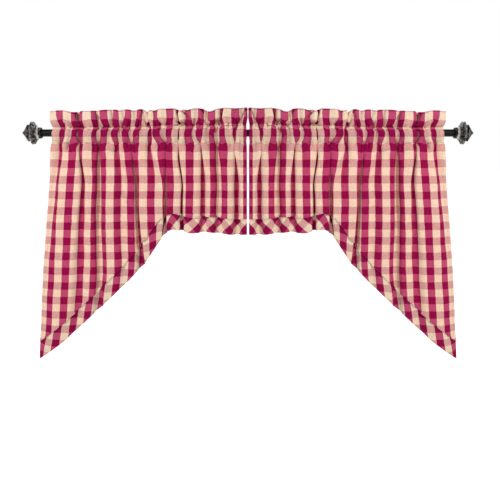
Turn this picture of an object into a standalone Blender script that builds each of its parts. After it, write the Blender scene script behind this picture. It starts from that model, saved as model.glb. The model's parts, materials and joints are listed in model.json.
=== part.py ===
"""A pair of gathered swag valance panels on one curtain rod with two faceted finials.

The origin is on the rod's axis, halfway along it. +X runs along the rod, +Y to the wall, +Z up.
Each panel is one cloth: a ruffled heading, a rod pocket that the rod passes through, and a body
cut short at the middle of the window and long at the outside. A bias band is sewn to its lower
edge. Lengths are in metres. On the cloth, places are counted in checks, the woven squares.
"""

import math
from collections import namedtuple

import bmesh
import bpy
import numpy as np

# ---------------------------------------------------------------- driving dimensions
CHECK = 0.0272                # side of one woven square
CHECKS_ACROSS = 35.5          # squares across one panel, laid flat
CLOTH = 0.0015                # thickness of the panel's cloth
BAND_CLOTH = 0.0018           # thickness of the doubled bias band
SEWN_GAP = 0.0006             # between the panel and the band behind its edge

ROD_RADIUS = 0.0127           # a 25 mm rod
ROD_SIDES = 24
ROD_END = 0.735               # half the rod's length, inside the finials' sockets
FINIAL_FACE = 0.715           # where each finial's collar starts
FINIAL_SIDES = 8
SOCKET_CLEARANCE = 0.0003

HEADING_TOP = 0.076           # height of the ruffle's top edge over the rod's axis, at the outer end
HEADING_RISE = 0.011          # how much higher it stands at the inner end
HEADING_DIP = 0.0035          # how far a fold that hides one check pulls the top edge down
HEADING_SEAM = 0.019          # the seam over the rod, at the outer end
SEAM_RISE = 0.007             # how much higher it runs at the inner end
POCKET_SEAM = -0.033          # the seam under the rod
POCKET_RADIUS = 0.0147        # of the pocket's inside, where it rounds the rod
POCKET_DRAWN_IN = 0.45        # how far its front is drawn to the middle, for each metre it is pushed out

OUTER_CORNER = -0.828         # height of the long outer corner
HEM_ROUNDS = 24               # rounds of finding where the cloth crosses the hem line
HEM_ROUNDING = 4              # flat steps over which the hem's bends are rounded
HEM_EASING = 34               # flat steps over which the band's slope is averaged
FULL_WIDTH_TO = -0.372        # the whole width of the cloth hangs down to this height
BAND_WIDTH = 0.057            # finished width of the bias band
BAND_OVERLAP = 0.012          # of the band's seam allowance, behind the panel

INNER_EDGE = 0.0036           # from the window's middle to a panel's inner edge
OUTER_AT_POCKET = 0.681       # from the middle to the outer edge, at the pocket
OUTER_FLARE = 0.1236          # how far that edge spreads for each metre of drop
OUTER_BOW = 0.005             # how far it bows out halfway down
OUTER_NECK = 0.007            # how far the heading's seam draws it in

STATIONS = 72                 # cross-sections modelled along each panel
TURN_WEIGHT = 0.016           # metres of cloth that one radian of turn counts as, in placing them
FLAT_STEPS = 720              # steps used to add up the folds across the cloth

FLAT_WIDTH = CHECKS_ACROSS * CHECK

# ---------------------------------------------------------------- the folds
# Heights over the rod's axis at which the folds are given, from the heading to the outer corner.
LEVELS = (0.060, 0.0, -0.050, -0.200, -0.530)
# How much of its full depth a fold has at each level: the rod presses it flat.
DEPTH_SHARES = (0.75, 0.50, 0.85, 0.95, 0.90)

# Each row is one fold that runs down the cloth, a valley as seen from the front. At each level, at
# is the place of its bottom, half is half the cloth that it takes, and hides is the width that it
# swallows, all in checks, counted from the outer edge. lean turns the valley over: the outer side
# laps over the inner one where it is positive.
Fold = namedtuple("Fold", "at half hides lean")
FOLDS = [
    Fold((1.5, 1.5, 1.4, 1.0, 0.5), (1.1, 1.1, 1.1, 1.1, 1.0), (0.00, 0.25, 0.60, 0.15, 0.00), 0.0),
    Fold((4.7, 4.4, 5.0, 5.5, 5.5), (1.2, 1.2, 1.0, 0.9, 1.3), (1.85, 1.45, 1.15, 0.65, 0.30), 0.2),
    Fold((8.1, 8.3, 8.5, 8.4, 8.7), (1.0, 1.2, 1.1, 1.3, 1.3), (0.60, 0.70, 1.10, 1.10, 0.75), 0.1),
    Fold((10.9, 10.5, 10.4, 10.4, 10.4), (0.9, 0.8, 0.8, 0.8, 0.8), (0.42, 0.50, 0.00, 0.00, 0.00), 0.0),
    Fold((12.9, 12.5, 11.9, 12.2, 12.4), (0.9, 0.8, 1.2, 1.2, 1.2), (0.26, 0.40, 0.65, 0.30, 0.20), 0.0),
    Fold((14.9, 14.5, 14.5, 14.9, 15.4), (0.9, 0.9, 0.8, 1.1, 1.5), (0.40, 0.50, 1.10, 1.30, 1.15), 0.0),
    Fold((17.5, 18.1, 17.7, 18.4, 18.4), (1.3, 1.2, 1.0, 1.1, 1.1), (2.00, 1.05, 0.60, 0.00, 0.00), -0.2),
    Fold((19.6, 21.0, 20.5, 20.15, 19.9), (0.8, 1.2, 0.75, 1.1, 1.5), (0.20, 0.35, 1.15, 1.60, 1.55), 0.15),
    Fold((23.3, 23.6, 23.4, 23.8, 23.8), (1.1, 1.0, 1.0, 1.1, 1.2), (1.30, 1.10, 1.25, 1.35, 1.30), 0.15),
    Fold((25.3, 25.0, 25.0, 25.0, 25.0), (0.7, 0.7, 0.7, 0.7, 0.7), (0.20, 0.00, 0.00, 0.00, 0.00), 0.0),
    Fold((27.0, 26.5, 27.5, 27.7, 27.8), (0.9, 0.8, 0.9, 1.1, 1.2), (0.20, 0.45, 0.90, 0.75, 0.70), 0.0),
    Fold((28.6, 28.9, 28.9, 28.9, 28.9), (0.7, 0.9, 0.9, 0.9, 0.9), (0.40, 0.35, 0.00, 0.00, 0.00), 0.0),
    Fold((31.1, 30.6, 30.4, 30.5, 30.6), (1.0, 1.1, 1.1, 1.2, 1.2), (0.70, 0.55, 0.75, 0.70, 0.60), 0.0),
    Fold((34.8, 33.6, 33.5, 33.7, 33.7), (1.0, 0.9, 0.9, 1.2, 1.3), (0.35, 0.50, 0.90, 0.90, 0.85), 0.0),
]
# The outer edge rolls back by itself. It stays turned for some checks and then eases out.
ROLL_HIDES = (0.15, 0.10, 0.20, 0.40, 0.24)
ROLL_HELD = 0.8               # checks over which it stays turned
ROLL_OUT = 2.2                # checks over which it eases out

# The finished lower edge as it hangs: a slant up from the long outer corner, a bend, and a nearly
# level run that waves a little. out is how far each place is from the window's middle.
HemPoint = namedtuple("HemPoint", "out height")
HEM = [
    HemPoint(0.7793, OUTER_CORNER),
    HemPoint(0.6760, -0.7530),
    HemPoint(0.5600, -0.6450),
    HemPoint(0.4460, -0.5385),
    HemPoint(0.3710, -0.4610),
    HemPoint(0.3320, -0.4030),
    HemPoint(0.2950, -0.3480),
    HemPoint(0.2720, -0.3360),
    HemPoint(0.2500, -0.3400),
    HemPoint(0.2060, -0.3550),
    HemPoint(0.1520, -0.3480),
    HemPoint(0.1000, -0.3545),
    HemPoint(0.0450, -0.3610),
    HemPoint(INNER_EDGE, -0.3580),
]

# Where the ruffle's top edge sags, how far from the middle, over what half-width, and how much.
Sag = namedtuple("Sag", "out width drop")
SAGS = [
    Sag(0.672, 0.010, 0.0025),
    Sag(0.596, 0.024, 0.0065),
    Sag(0.551, 0.020, 0.0035),
    Sag(0.517, 0.020, 0.0020),
    Sag(0.441, 0.010, 0.0035),
    Sag(0.393, 0.012, 0.0045),
    Sag(0.348, 0.008, 0.0085),
    Sag(0.324, 0.014, 0.0060),
    Sag(0.234, 0.008, 0.0065),
    Sag(0.210, 0.017, 0.0055),
    Sag(0.131, 0.022, 0.0120),
    Sag(0.045, 0.020, 0.0030),
]

# The pocket's inside, as places on a circle round the rod between its two seams.
POCKET_ANGLES_DEG = (45.0, 0.0, -30.0)
# Rows down the body, as shares of the way from the pocket's seam to the band's.
BODY_SHARES = (0.06, 0.14, 0.25, 0.40, 0.58, 0.78)
HEADING_SHARES = (0.45,)      # rows up the heading, as shares of its height

# ---------------------------------------------------------------- the finial
# One row for each edge round it: how far from its collar's face, and its half-width there.
Ring = namedtuple("Ring", "out half_width")
FINIAL_RINGS = [
    Ring(0.0000, 0.0170),
    Ring(0.0015, 0.0185),
    Ring(0.0080, 0.0190),
    Ring(0.0095, 0.0178),
    Ring(0.0120, 0.0180),
    Ring(0.0135, 0.0205),
    Ring(0.0170, 0.0232),
    Ring(0.0205, 0.0268),
    Ring(0.0245, 0.0325),
    Ring(0.0290, 0.0385),
    Ring(0.0312, 0.0385),
    Ring(0.0355, 0.0325),
    Ring(0.0375, 0.0262),
    Ring(0.0420, 0.0250),
    Ring(0.0430, 0.0282),
    Ring(0.0460, 0.0282),
    Ring(0.0480, 0.0250),
    Ring(0.0590, 0.0095),
]
FINIAL_TIP = 0.0676
SOCKET_DEPTH = 0.0203         # a little more than the rod goes in

# ---------------------------------------------------------------- colours
COLOURS = {
    "cloth": ((0.62, 0.27, 0.31, 1.0), 0.85, 0.0),
    "band": ((0.62, 0.27, 0.31, 1.0), 0.85, 0.0),
    "rod": ((0.012, 0.011, 0.011, 1.0), 0.28, 0.9),
    "finial": ((0.085, 0.088, 0.08, 1.0), 0.42, 0.8),
}


# ---------------------------------------------------------------- the cloth's shape
def soft_step(t):
    t = min(1.0, max(0.0, t))
    return t * t * (3.0 - 2.0 * t)


def at_height(z, values):
    """A value that is given at the five levels, eased from each one to the next."""
    for k in range(len(LEVELS) - 1):
        upper, lower = LEVELS[k], LEVELS[k + 1]
        if z >= lower:
            return values[k] + (values[k + 1] - values[k]) * soft_step((upper - z) / (upper - lower))
    return values[-1]


def turn_shape(t, lean):
    """How far the cloth has turned across a fold, t from -1 to 1, where its steepest wall is 1."""
    valley = -np.sin(np.pi * t)
    lap = 0.5 * (1.0 + np.cos(np.pi * t))
    return np.where(np.abs(t) < 1.0, (1.0 - abs(lean)) * valley + lean * lap, 0.0)


TURNS = np.linspace(0.0, 2.2, 56)


def shares_hidden(lean):
    """The share of its own cloth that a fold swallows at each of the steepest turns in TURNS."""
    shape = turn_shape(np.linspace(-1.0, 1.0, 121), lean)
    return [1.0 - np.cos(turn * shape).mean() for turn in TURNS]


HIDDEN = [shares_hidden(fold.lean) for fold in FOLDS]
FLAT_CHECKS = np.linspace(0.0, CHECKS_ACROSS, FLAT_STEPS + 1)


def outer_edge(z):
    """How far from the middle the panel's outer edge hangs at height z."""
    if z > POCKET_SEAM:
        near_seam = math.exp(-(((z - HEADING_SEAM) / 0.012) ** 2))
        return OUTER_AT_POCKET - OUTER_NECK * near_seam
    drop = POCKET_SEAM - z
    share = drop / (POCKET_SEAM - OUTER_CORNER)
    return OUTER_AT_POCKET + OUTER_FLARE * drop + OUTER_BOW * math.sin(math.pi * share)


def turns_across(z, ease):
    """How far the cloth has turned at each flat step at height z, with every fold eased so much."""
    turn = np.zeros_like(FLAT_CHECKS)
    for fold, hidden in zip(FOLDS, HIDDEN):
        place, half = at_height(z, fold.at), at_height(z, fold.half)
        share = ease * at_height(z, fold.hides) / (2.0 * half)
        steepest = np.interp(share, hidden, TURNS)
        turn += steepest * turn_shape((FLAT_CHECKS - place) / half, fold.lean)
    rolled = ease * at_height(z, ROLL_HIDES) / (ROLL_HELD + 0.4 * ROLL_OUT)
    eased_out = [soft_step((checks - ROLL_HELD) / ROLL_OUT) for checks in FLAT_CHECKS]
    return turn - math.acos(max(0.1, 1.0 - rolled)) * (1.0 - np.array(eased_out))


def added_up(values):
    """The running sum along the cloth of a value given at its flat steps."""
    step = FLAT_WIDTH / FLAT_STEPS
    return np.concatenate([[0.0], np.cumsum(0.5 * (values[1:] + values[:-1]))]) * step


def ease_at(z):
    """What the folds are multiplied by at height z, so that the cloth just fills its place."""
    hung_width = outer_edge(z) - INNER_EDGE
    low, high = 0.5, 2.0
    for _ in range(18):
        middle = 0.5 * (low + high)
        if added_up(np.cos(turns_across(z, middle)))[-1] > hung_width:
            low = middle
        else:
            high = middle
    return low


def folded_across(z):
    """The cloth's plan at height z: arrays of x, depth and turn, at even steps across the flat cloth.

    x counts from the middle and falls towards the outer edge at -outer_edge(z).
    """
    turn = turns_across(z, ease_at(max(z, FULL_WIDTH_TO)))
    across = added_up(np.cos(turn)) - outer_edge(z)
    depth = added_up(np.sin(turn))
    depth -= depth[0] + (depth[-1] - depth[0]) * FLAT_CHECKS / CHECKS_ACROSS
    depth -= 0.5 * (depth.max() + depth.min())
    share = at_height(z, DEPTH_SHARES)
    return across, depth * share, np.arctan2(share * np.sin(turn), np.cos(turn))


class FoldedCloth:
    """Looks up where a place on the flat cloth hangs."""

    def __init__(self):
        self.heights = np.linspace(OUTER_CORNER - 0.01, HEADING_TOP + HEADING_RISE + 0.005, 116)
        plans = [folded_across(z) for z in self.heights]
        self.plans = np.array(plans)

    def at(self, checks, z):
        """(x, depth, turn) there, between the two nearest of the plans made beforehand."""
        place = np.interp(z, self.heights, np.arange(len(self.heights)))
        below = min(int(place), len(self.heights) - 2)
        part = place - below
        plan = self.plans[below] * (1.0 - part) + self.plans[below + 1] * part
        return tuple(float(np.interp(checks, FLAT_CHECKS, values)) for values in plan)

    def limits(self, z):
        """The nearest and farthest depth of the folds at height z."""
        level = int(np.argmin(np.abs(self.heights - z)))
        return self.plans[level][1].min(), self.plans[level][1].max()

    def out_at(self, heights):
        """How far from the middle each flat step hangs, where its height is given."""
        place = np.interp(heights, self.heights, np.arange(len(self.heights)))
        below = np.minimum(place.astype(int), len(self.heights) - 2)
        part = place - below
        step = np.arange(FLAT_STEPS + 1)
        across = self.plans[:, 0]
        return -(across[below, step] * (1.0 - part) + across[below + 1, step] * part)


FOLDED_CLOTH = FoldedCloth()


def averaged(values, reach):
    """A running average of evenly spaced values, over about this many of them on each side."""
    steps = np.arange(-3 * reach, 3 * reach + 1)
    weights = np.exp(-0.5 * (steps / reach) ** 2)
    before = values[0] + (values[1] - values[0]) * np.arange(-3 * reach, 0)
    after = values[-1] + (values[-1] - values[-2]) * np.arange(1, 3 * reach + 1)
    return np.convolve(np.concatenate([before, values, after]), weights / weights.sum(), mode="valid")


HEM_OUTS = np.linspace(INNER_EDGE, HEM[0].out, 400)
HEM_LINE = averaged(
    np.interp(HEM_OUTS, [point.out for point in HEM[::-1]], [point.height for point in HEM[::-1]]), 5
)


def hem_heights():
    """The hem's height at every flat step: where the cloth there hangs across the hem line."""
    heights = np.full_like(FLAT_CHECKS, -0.4)
    for _ in range(HEM_ROUNDS):
        out = FOLDED_CLOTH.out_at(heights)
        heights = 0.5 * (heights + np.interp(out, HEM_OUTS, HEM_LINE))
    return averaged(heights, HEM_ROUNDING)


HEM_HEIGHTS = hem_heights()
HEM_SLOPES = np.gradient(averaged(HEM_HEIGHTS, HEM_EASING), FLAT_WIDTH / FLAT_STEPS)


def hem_height(checks):
    """Height of the panel's finished lower edge, the band's hem, over the flat cloth."""
    return float(np.interp(checks, FLAT_CHECKS, HEM_HEIGHTS))


def band_drop(checks):
    """Upright height of the band, whose width is measured square to its hem."""
    return BAND_WIDTH * math.hypot(1.0, float(np.interp(checks, FLAT_CHECKS, HEM_SLOPES)))


def panel_edge(checks):
    """Height of the panel's own lower edge, where the band is sewn on."""
    return hem_height(checks) + band_drop(checks)


def heading_seam(checks):
    """Height of the seam over the rod, which rises towards the inner end."""
    return HEADING_SEAM + SEAM_RISE * soft_step((checks - 11.0) / 12.0)


HEADING_OUTS = FOLDED_CLOTH.out_at(np.full_like(FLAT_CHECKS, 0.065))


def heading_edge(checks):
    """Height of the ruffle's top edge. Each fold pulls it down a little, and it sags in places."""
    pull = sum(
        fold.hides[0] * math.exp(-(((checks - fold.at[0]) / (0.7 * fold.half[0])) ** 2))
        for fold in FOLDS
    )
    out = float(np.interp(checks, FLAT_CHECKS, HEADING_OUTS))
    sagged = sum(sag.drop * math.exp(-(((out - sag.out) / sag.width) ** 2)) for sag in SAGS)
    return HEADING_TOP + HEADING_RISE * checks / CHECKS_ACROSS - HEADING_DIP * pull - sagged


def stations():
    """Places across the flat cloth, closer together where it turns sharply."""
    bend = np.zeros(FLAT_STEPS)
    for z in LEVELS[:-1]:
        bend = np.maximum(bend, np.abs(np.diff(folded_across(z)[2])))
    weight = FLAT_WIDTH / FLAT_STEPS + TURN_WEIGHT * bend
    counted = np.concatenate([[0.0], np.cumsum(weight)])
    return np.interp(np.linspace(0.0, counted[-1], STATIONS), counted, FLAT_CHECKS)


# ---------------------------------------------------------------- building the solids
def surface_point(side, x, depth, turn, z, forward):
    """A point this far in front of the cloth's middle surface, on the left or right panel."""
    return (side * -(x + math.sin(turn) * forward), depth - math.cos(turn) * forward, z)


def material(name):
    colour, roughness, metallic = COLOURS[name]
    made = bpy.data.materials.new(name)
    made.use_nodes = True
    shader = made.node_tree.nodes["Principled BSDF"]
    shader.inputs["Base Color"].default_value = colour
    shader.inputs["Roughness"].default_value = roughness
    shader.inputs["Metallic"].default_value = metallic
    made.diffuse_color = colour
    return made


def add_object(name, bm, made_of):
    bmesh.ops.recalc_face_normals(bm, faces=bm.faces)
    mesh = bpy.data.meshes.new(name)
    bm.to_mesh(mesh)
    bm.free()
    mesh.materials.append(made_of)
    mesh.shade_smooth()
    mesh.set_sharp_from_angle(angle=math.radians(35.0))
    obj = bpy.data.objects.new(name, mesh)
    bpy.context.scene.collection.objects.link(obj)
    return obj


def strip(bm, first, second):
    """Quads between two rows of vertices, which may share a vertex."""
    for a, b, c, d in zip(first, first[1:], second[1:], second):
        corners = list(dict.fromkeys((a, b, c, d)))
        if len(corners) > 2:
            bm.faces.new(corners)


def wall(bm, rows):
    """Quads over a grid of vertices, given as rows."""
    for first, second in zip(rows, rows[1:]):
        strip(bm, first, second)


def pocket_section():
    """(height, half the gap) at each edge round the pocket's inside, between its two seams."""
    return [
        (POCKET_RADIUS * math.sin(math.radians(a)), POCKET_RADIUS * math.cos(math.radians(a)))
        for a in POCKET_ANGLES_DEG
    ]


def build_panel(name, side, cloth, places, made_of):
    """The panel: heading and body in one cloth, with the pocket as a tunnel through it."""
    bm = bmesh.new()

    def row(height_at, forward, push=0.0):
        """One vertex for each station: forward of the cloth's middle, then pushed along the depth."""
        drawn_in = 1.0 - POCKET_DRAWN_IN * max(0.0, -push)
        made = []
        for checks in places:
            z = height_at(checks)
            x, depth, turn = cloth.at(checks, z)
            px, py, pz = surface_point(side, x, depth, turn, z, forward)
            made.append(bm.verts.new((px * drawn_in, py + push, pz)))
        return made

    def heading_row(share):
        return lambda checks: (
            heading_seam(checks) + share * (heading_edge(checks) - heading_seam(checks))
        )

    def body_row(share):
        return lambda checks: POCKET_SEAM + share * (panel_edge(checks) - POCKET_SEAM)

    # Rows of the heading and body: where each is, and how far its two faces stand off.
    heading = [(heading_row(share), CLOTH) for share in (1.0, *reversed(HEADING_SHARES), 0.0)]
    body = [(body_row(0.0), CLOTH)]
    body += [(body_row(share), 0.5 * CLOTH) for share in BODY_SHARES]
    body += [(lambda checks: panel_edge(checks) + BAND_OVERLAP, 0.5 * CLOTH)]
    body += [(panel_edge, 0.5 * CLOTH)]

    front, back = [], []
    for height_at, half in heading:
        front.append(row(height_at, half))
        back.append(row(height_at, -half))
    inner_top = row(heading[-1][0], 0.0)
    inner_front, inner_back = [inner_top], [inner_top]
    for z, gap in pocket_section():
        nearest, farthest = cloth.limits(z)
        ahead, behind = -gap - farthest, gap - nearest
        front.append(row(lambda _, z=z: z, CLOTH, ahead))
        inner_front.append(row(lambda _, z=z: z, 0.0, ahead))
        inner_back.append(row(lambda _, z=z: z, 0.0, behind))
        back.append(row(lambda _, z=z: z, -CLOTH, behind))
    inner_bottom = row(body[0][0], 0.0)
    inner_front.append(inner_bottom)
    inner_back.append(inner_bottom)
    for height_at, half in body:
        front.append(row(height_at, half))
        back.append(row(height_at, -half))

    for rows in (front, back, inner_front, inner_back):
        wall(bm, rows)
    strip(bm, front[0], back[0])
    strip(bm, front[-1], back[-1])
    # The two cut ends: heading, round the pocket, and body.
    upper, lower = len(heading), len(heading) + len(POCKET_ANGLES_DEG)
    for end in (0, -1):
        strip(bm, [r[end] for r in front[:upper]], [r[end] for r in back[:upper]])
        strip(bm, [r[end] for r in front[lower:]], [r[end] for r in back[lower:]])
        ring_front = [r[end] for r in front[upper - 1:lower + 1]]
        ring_back = [r[end] for r in back[upper - 1:lower + 1]]
        strip(bm, ring_front, [r[end] for r in inner_front])
        strip(bm, ring_back, [r[end] for r in inner_back])
    for seam_front, seam_back, seam_inner in (
        (front[upper - 1], back[upper - 1], inner_top),
        (front[lower], back[lower], inner_bottom),
    ):
        for end in (0, -1):
            bm.faces.new((seam_front[end], seam_back[end], seam_inner[end]))
    return add_object(name, bm, made_of)


def build_band(name, side, cloth, places, made_of):
    """The bias band: its top edge lies behind the panel's edge, and it follows the same folds."""
    bm = bmesh.new()
    near_face = -(0.5 * CLOTH + SEWN_GAP)
    far_face = near_face - BAND_CLOTH
    shares = (-1.0, 0.0, 0.5, 1.0)

    def height(checks, share):
        if share < 0.0:
            return panel_edge(checks) - share * BAND_OVERLAP
        return panel_edge(checks) - share * band_drop(checks)

    def rows(forward):
        made = []
        for share in shares:
            line = []
            for checks in places:
                z = height(checks, share)
                x, depth, turn = cloth.at(checks, z)
                line.append(bm.verts.new(surface_point(side, x, depth, turn, z, forward)))
            made.append(line)
        return made

    near, far = rows(near_face), rows(far_face)
    wall(bm, near)
    wall(bm, far)
    for edge in (0, -1):
        strip(bm, near[edge], far[edge])
        strip(bm, [line[edge] for line in near], [line[edge] for line in far])
    return add_object(name, bm, made_of)


def build_rod(made_of):
    """A plain round rod, with one of its flats facing straight down."""
    bm = bmesh.new()
    bmesh.ops.create_cone(
        bm, cap_ends=True, segments=ROD_SIDES, radius1=ROD_RADIUS, radius2=ROD_RADIUS,
        depth=2.0 * ROD_END,
    )
    rod = add_object("rod", bm, made_of)
    half_side = math.pi / ROD_SIDES
    rod.rotation_euler = (half_side, math.pi / 2.0, 0.0)
    rod.rotation_mode = "YXZ"
    return rod


def build_finial(name, side, made_of):
    """Eight-sided, turned from its rings, with a round socket for the rod's end."""
    bm = bmesh.new()
    corner = 1.0 / math.cos(math.pi / FINIAL_SIDES)
    first_corner = math.pi / FINIAL_SIDES
    rings = []
    for ring in FINIAL_RINGS:
        radius = ring.half_width * corner
        line = []
        for k in range(FINIAL_SIDES):
            angle = first_corner + 2.0 * math.pi * k / FINIAL_SIDES
            x = side * (FINIAL_FACE + ring.out)
            line.append(bm.verts.new((x, radius * math.cos(angle), radius * math.sin(angle))))
        rings.append(line + line[:1])
    wall(bm, rings)
    bm.faces.new(rings[0][:-1])
    tip = bm.verts.new((side * (FINIAL_FACE + FINIAL_TIP), 0.0, 0.0))
    for a, b in zip(rings[-1], rings[-1][1:]):
        bm.faces.new((a, b, tip))
    finial = add_object(name, bm, made_of)

    cutter_mesh = bmesh.new()
    bore = ROD_RADIUS + SOCKET_CLEARANCE
    outside = 0.01
    bmesh.ops.create_cone(
        cutter_mesh, cap_ends=True, segments=ROD_SIDES, radius1=bore, radius2=bore,
        depth=SOCKET_DEPTH + outside,
    )
    cutter = add_object(name + "_socket", cutter_mesh, made_of)
    cutter.rotation_mode = "YXZ"
    cutter.rotation_euler = (math.pi / ROD_SIDES, math.pi / 2.0, 0.0)
    cutter.location.x = side * (FINIAL_FACE + 0.5 * (SOCKET_DEPTH - outside))
    cutter.hide_render = True
    cutter.display_type = "WIRE"
    cut = finial.modifiers.new("socket", "BOOLEAN")
    cut.operation = "DIFFERENCE"
    cut.object = cutter
    return finial


def main():
    for obj in list(bpy.data.objects):
        bpy.data.objects.remove(obj)
    finishes = {name: material(name) for name in COLOURS}
    places = stations()
    build_rod(finishes["rod"])
    for word, side in (("left", -1), ("right", 1)):
        build_finial("finial_" + word, side, finishes["finial"])
        build_panel("panel_" + word, side, FOLDED_CLOTH, places, finishes["cloth"])
        build_band("band_" + word, side, FOLDED_CLOTH, places, finishes["band"])


main()
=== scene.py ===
# %% [markdown]
# # A pair of gathered swag valances on a curtain rod
#
# Two panels of woven check cotton hang side by side on one dark metal rod. Each panel has a ruffled
# heading over the rod, a sewn pocket that the rod passes through, and a body that is cut short at
# the middle of the window and long at its outside. A band cut on the bias finishes its lower edge.
# The rod ends in two faceted knobs.
#
# The solids of all these pieces come from the packed model. This lesson dresses them: it lays the
# cloth flat at its cut size, hangs it on the same folds as the solids, weaves the check into its
# material, sews the seams, and models the rod and the knobs with bevelled edges.

# %% Load the packed model
import json
import math
import random
from collections import namedtuple

import bpy
import numpy as np
from mathutils import Matrix, Vector

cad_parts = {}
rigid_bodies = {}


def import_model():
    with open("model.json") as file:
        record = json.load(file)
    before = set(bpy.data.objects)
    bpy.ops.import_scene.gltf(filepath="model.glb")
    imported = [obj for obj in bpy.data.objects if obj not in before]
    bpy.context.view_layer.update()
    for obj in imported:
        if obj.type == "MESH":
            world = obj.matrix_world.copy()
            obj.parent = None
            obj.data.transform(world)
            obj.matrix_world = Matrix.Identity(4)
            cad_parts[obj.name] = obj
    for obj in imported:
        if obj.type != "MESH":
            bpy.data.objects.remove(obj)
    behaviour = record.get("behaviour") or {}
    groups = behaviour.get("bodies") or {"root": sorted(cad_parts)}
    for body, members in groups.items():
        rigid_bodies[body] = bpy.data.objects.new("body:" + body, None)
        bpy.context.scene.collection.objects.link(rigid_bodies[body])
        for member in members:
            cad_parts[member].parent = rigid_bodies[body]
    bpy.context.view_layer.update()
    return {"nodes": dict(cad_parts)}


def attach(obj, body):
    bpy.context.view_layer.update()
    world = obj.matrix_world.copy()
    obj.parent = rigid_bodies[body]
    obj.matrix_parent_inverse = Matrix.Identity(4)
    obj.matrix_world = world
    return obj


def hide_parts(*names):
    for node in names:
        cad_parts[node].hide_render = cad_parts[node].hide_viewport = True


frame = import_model()
print("nodes:", ", ".join(sorted(frame["nodes"])))

# %% [markdown]
# ## Small helpers
# A bpy.ops operator acts on all that is selected, and the loaded nodes start out selected. So every
# piece begins with an empty selection, and a modifier is applied to the one object that is active.
# The two halves mirror each other, so most pieces are made in a loop over the two sides.

# %% Selecting and finishing
SIDES = {"left": -1, "right": 1}                    # each half's word, and the sign of its x


def nothing_selected():
    """Leaves edit mode and deselects every object."""
    if bpy.context.mode != "OBJECT":
        bpy.ops.object.mode_set(mode="OBJECT")
    bpy.ops.object.select_all(action="DESELECT")


def only(obj):
    """Makes obj the one selected and active object."""
    nothing_selected()
    obj.select_set(True)
    bpy.context.view_layer.objects.active = obj
    return obj


def apply_modifiers(obj):
    """Applies the modifiers of obj, from the first to the last."""
    only(obj)
    for name in [modifier.name for modifier in obj.modifiers]:
        bpy.ops.object.modifier_apply(modifier=name)
    return obj


def smooth(obj, degrees):
    """Shades obj smooth, apart from edges that are sharper than this."""
    only(obj)
    bpy.ops.object.shade_smooth_by_angle(angle=math.radians(degrees))


print("halves:", ", ".join(SIDES))

# %% [markdown]
# ## The camera
# The photograph was taken from the height of the rod and a little over two metres away, looking
# slightly down, so that the foot of the cloth is a little smaller than the heading. A 44 mm lens
# from that place gives the same slant to the outer edges. The panels meet a hair to the left of the
# frame's middle, so the camera stands that much to the right.

# %% Camera
CAMERA_PLACE = (0.0072, -2.1586, 0.0114)
CAMERA_TILT_DEG = 78.86
CAMERA_LENS_MM = 44.0

nothing_selected()
bpy.ops.object.camera_add(
    location=CAMERA_PLACE, rotation=(math.radians(CAMERA_TILT_DEG), 0.0, 0.0)
)
camera = bpy.context.object
camera.name = "camera"
camera.data.lens = CAMERA_LENS_MM
camera.data.clip_end = 200.0
bpy.context.scene.camera = camera
print("camera at", CAMERA_PLACE)

# %% [markdown]
# ## Nodes in short
# The world and every material are trees of nodes. Two small classes keep them readable: each call
# adds one node, feeds it numbers or the outputs of other nodes, and gives back its own output.


# %% Node trees
class Nodes:
    """The node tree of the world or of a material, with short ways to add nodes to it."""

    def __init__(self, owner):
        owner.use_nodes = True
        self.owner = owner
        self.tree = owner.node_tree

    def feed(self, node, inputs):
        """Links each input to another node's output, or sets it to a number or a colour."""
        for key, value in inputs.items():
            if isinstance(value, bpy.types.NodeSocket):
                self.tree.links.new(value, node.inputs[key])
            else:
                node.inputs[key].default_value = value

    def add(self, kind, output, inputs=None, **settings):
        """Adds one node, and gives back the output that is named."""
        node = self.tree.nodes.new("ShaderNode" + kind)
        for setting, value in settings.items():
            setattr(node, setting, value)
        self.feed(node, inputs or {})
        return node.outputs[output]

    def math(self, operation, *values, clamp=False):
        """A sum, product or other result of numbers. clamp keeps it from 0 to 1."""
        return self.add("Math", "Value", dict(enumerate(values)), operation=operation, use_clamp=clamp)

    def vector(self, operation, *values):
        """The same for vectors or colours."""
        return self.add("VectorMath", "Vector", dict(enumerate(values)), operation=operation)

    def brightened(self, colour, share):
        """A colour multiplied by a share."""
        return self.add("VectorMath", "Vector", {0: colour, "Scale": share}, operation="SCALE")

    def split(self, vector):
        """The three directions of a vector."""
        return self.add("SeparateXYZ", "X", {"Vector": vector}).node.outputs

    def mix(self, share, first, second):
        """A colour between the first and the second."""
        return self.add("Mix", 2, {0: share, 6: first, 7: second}, data_type="RGBA", clamp_factor=True)

    def noise(self, vector, scale, detail=2.0, roughness=0.5, output="Fac"):
        """Smooth noise, from 0 to 1, at scale turns for each metre."""
        inputs = {"Vector": vector, "Scale": scale, "Detail": detail, "Roughness": roughness}
        return self.add("TexNoise", output, inputs)

    def bump(self, height, strength, distance, normal=None):
        """A normal tilted by a height, on top of another normal if one is given."""
        inputs = {"Height": height, "Strength": strength, "Distance": distance}
        if normal is not None:
            inputs["Normal"] = normal
        return self.add("Bump", "Normal", inputs)


print("node helpers:", ", ".join(name for name in vars(Nodes) if not name.startswith("_")))


# %% A new material
class Finish(Nodes):
    """A new material and its nodes."""

    def __init__(self, name):
        super().__init__(bpy.data.materials.new(name))

    def shaded(self, inputs):
        """Feeds the material's shader, and gives back the material."""
        self.feed(self.tree.nodes["Principled BSDF"], inputs)
        return self.owner


def dress(obj, finish):
    """Gives obj this finish as its one material."""
    obj.data.materials.clear()
    obj.data.materials.append(finish)


print("a finish starts from a Principled BSDF")

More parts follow.
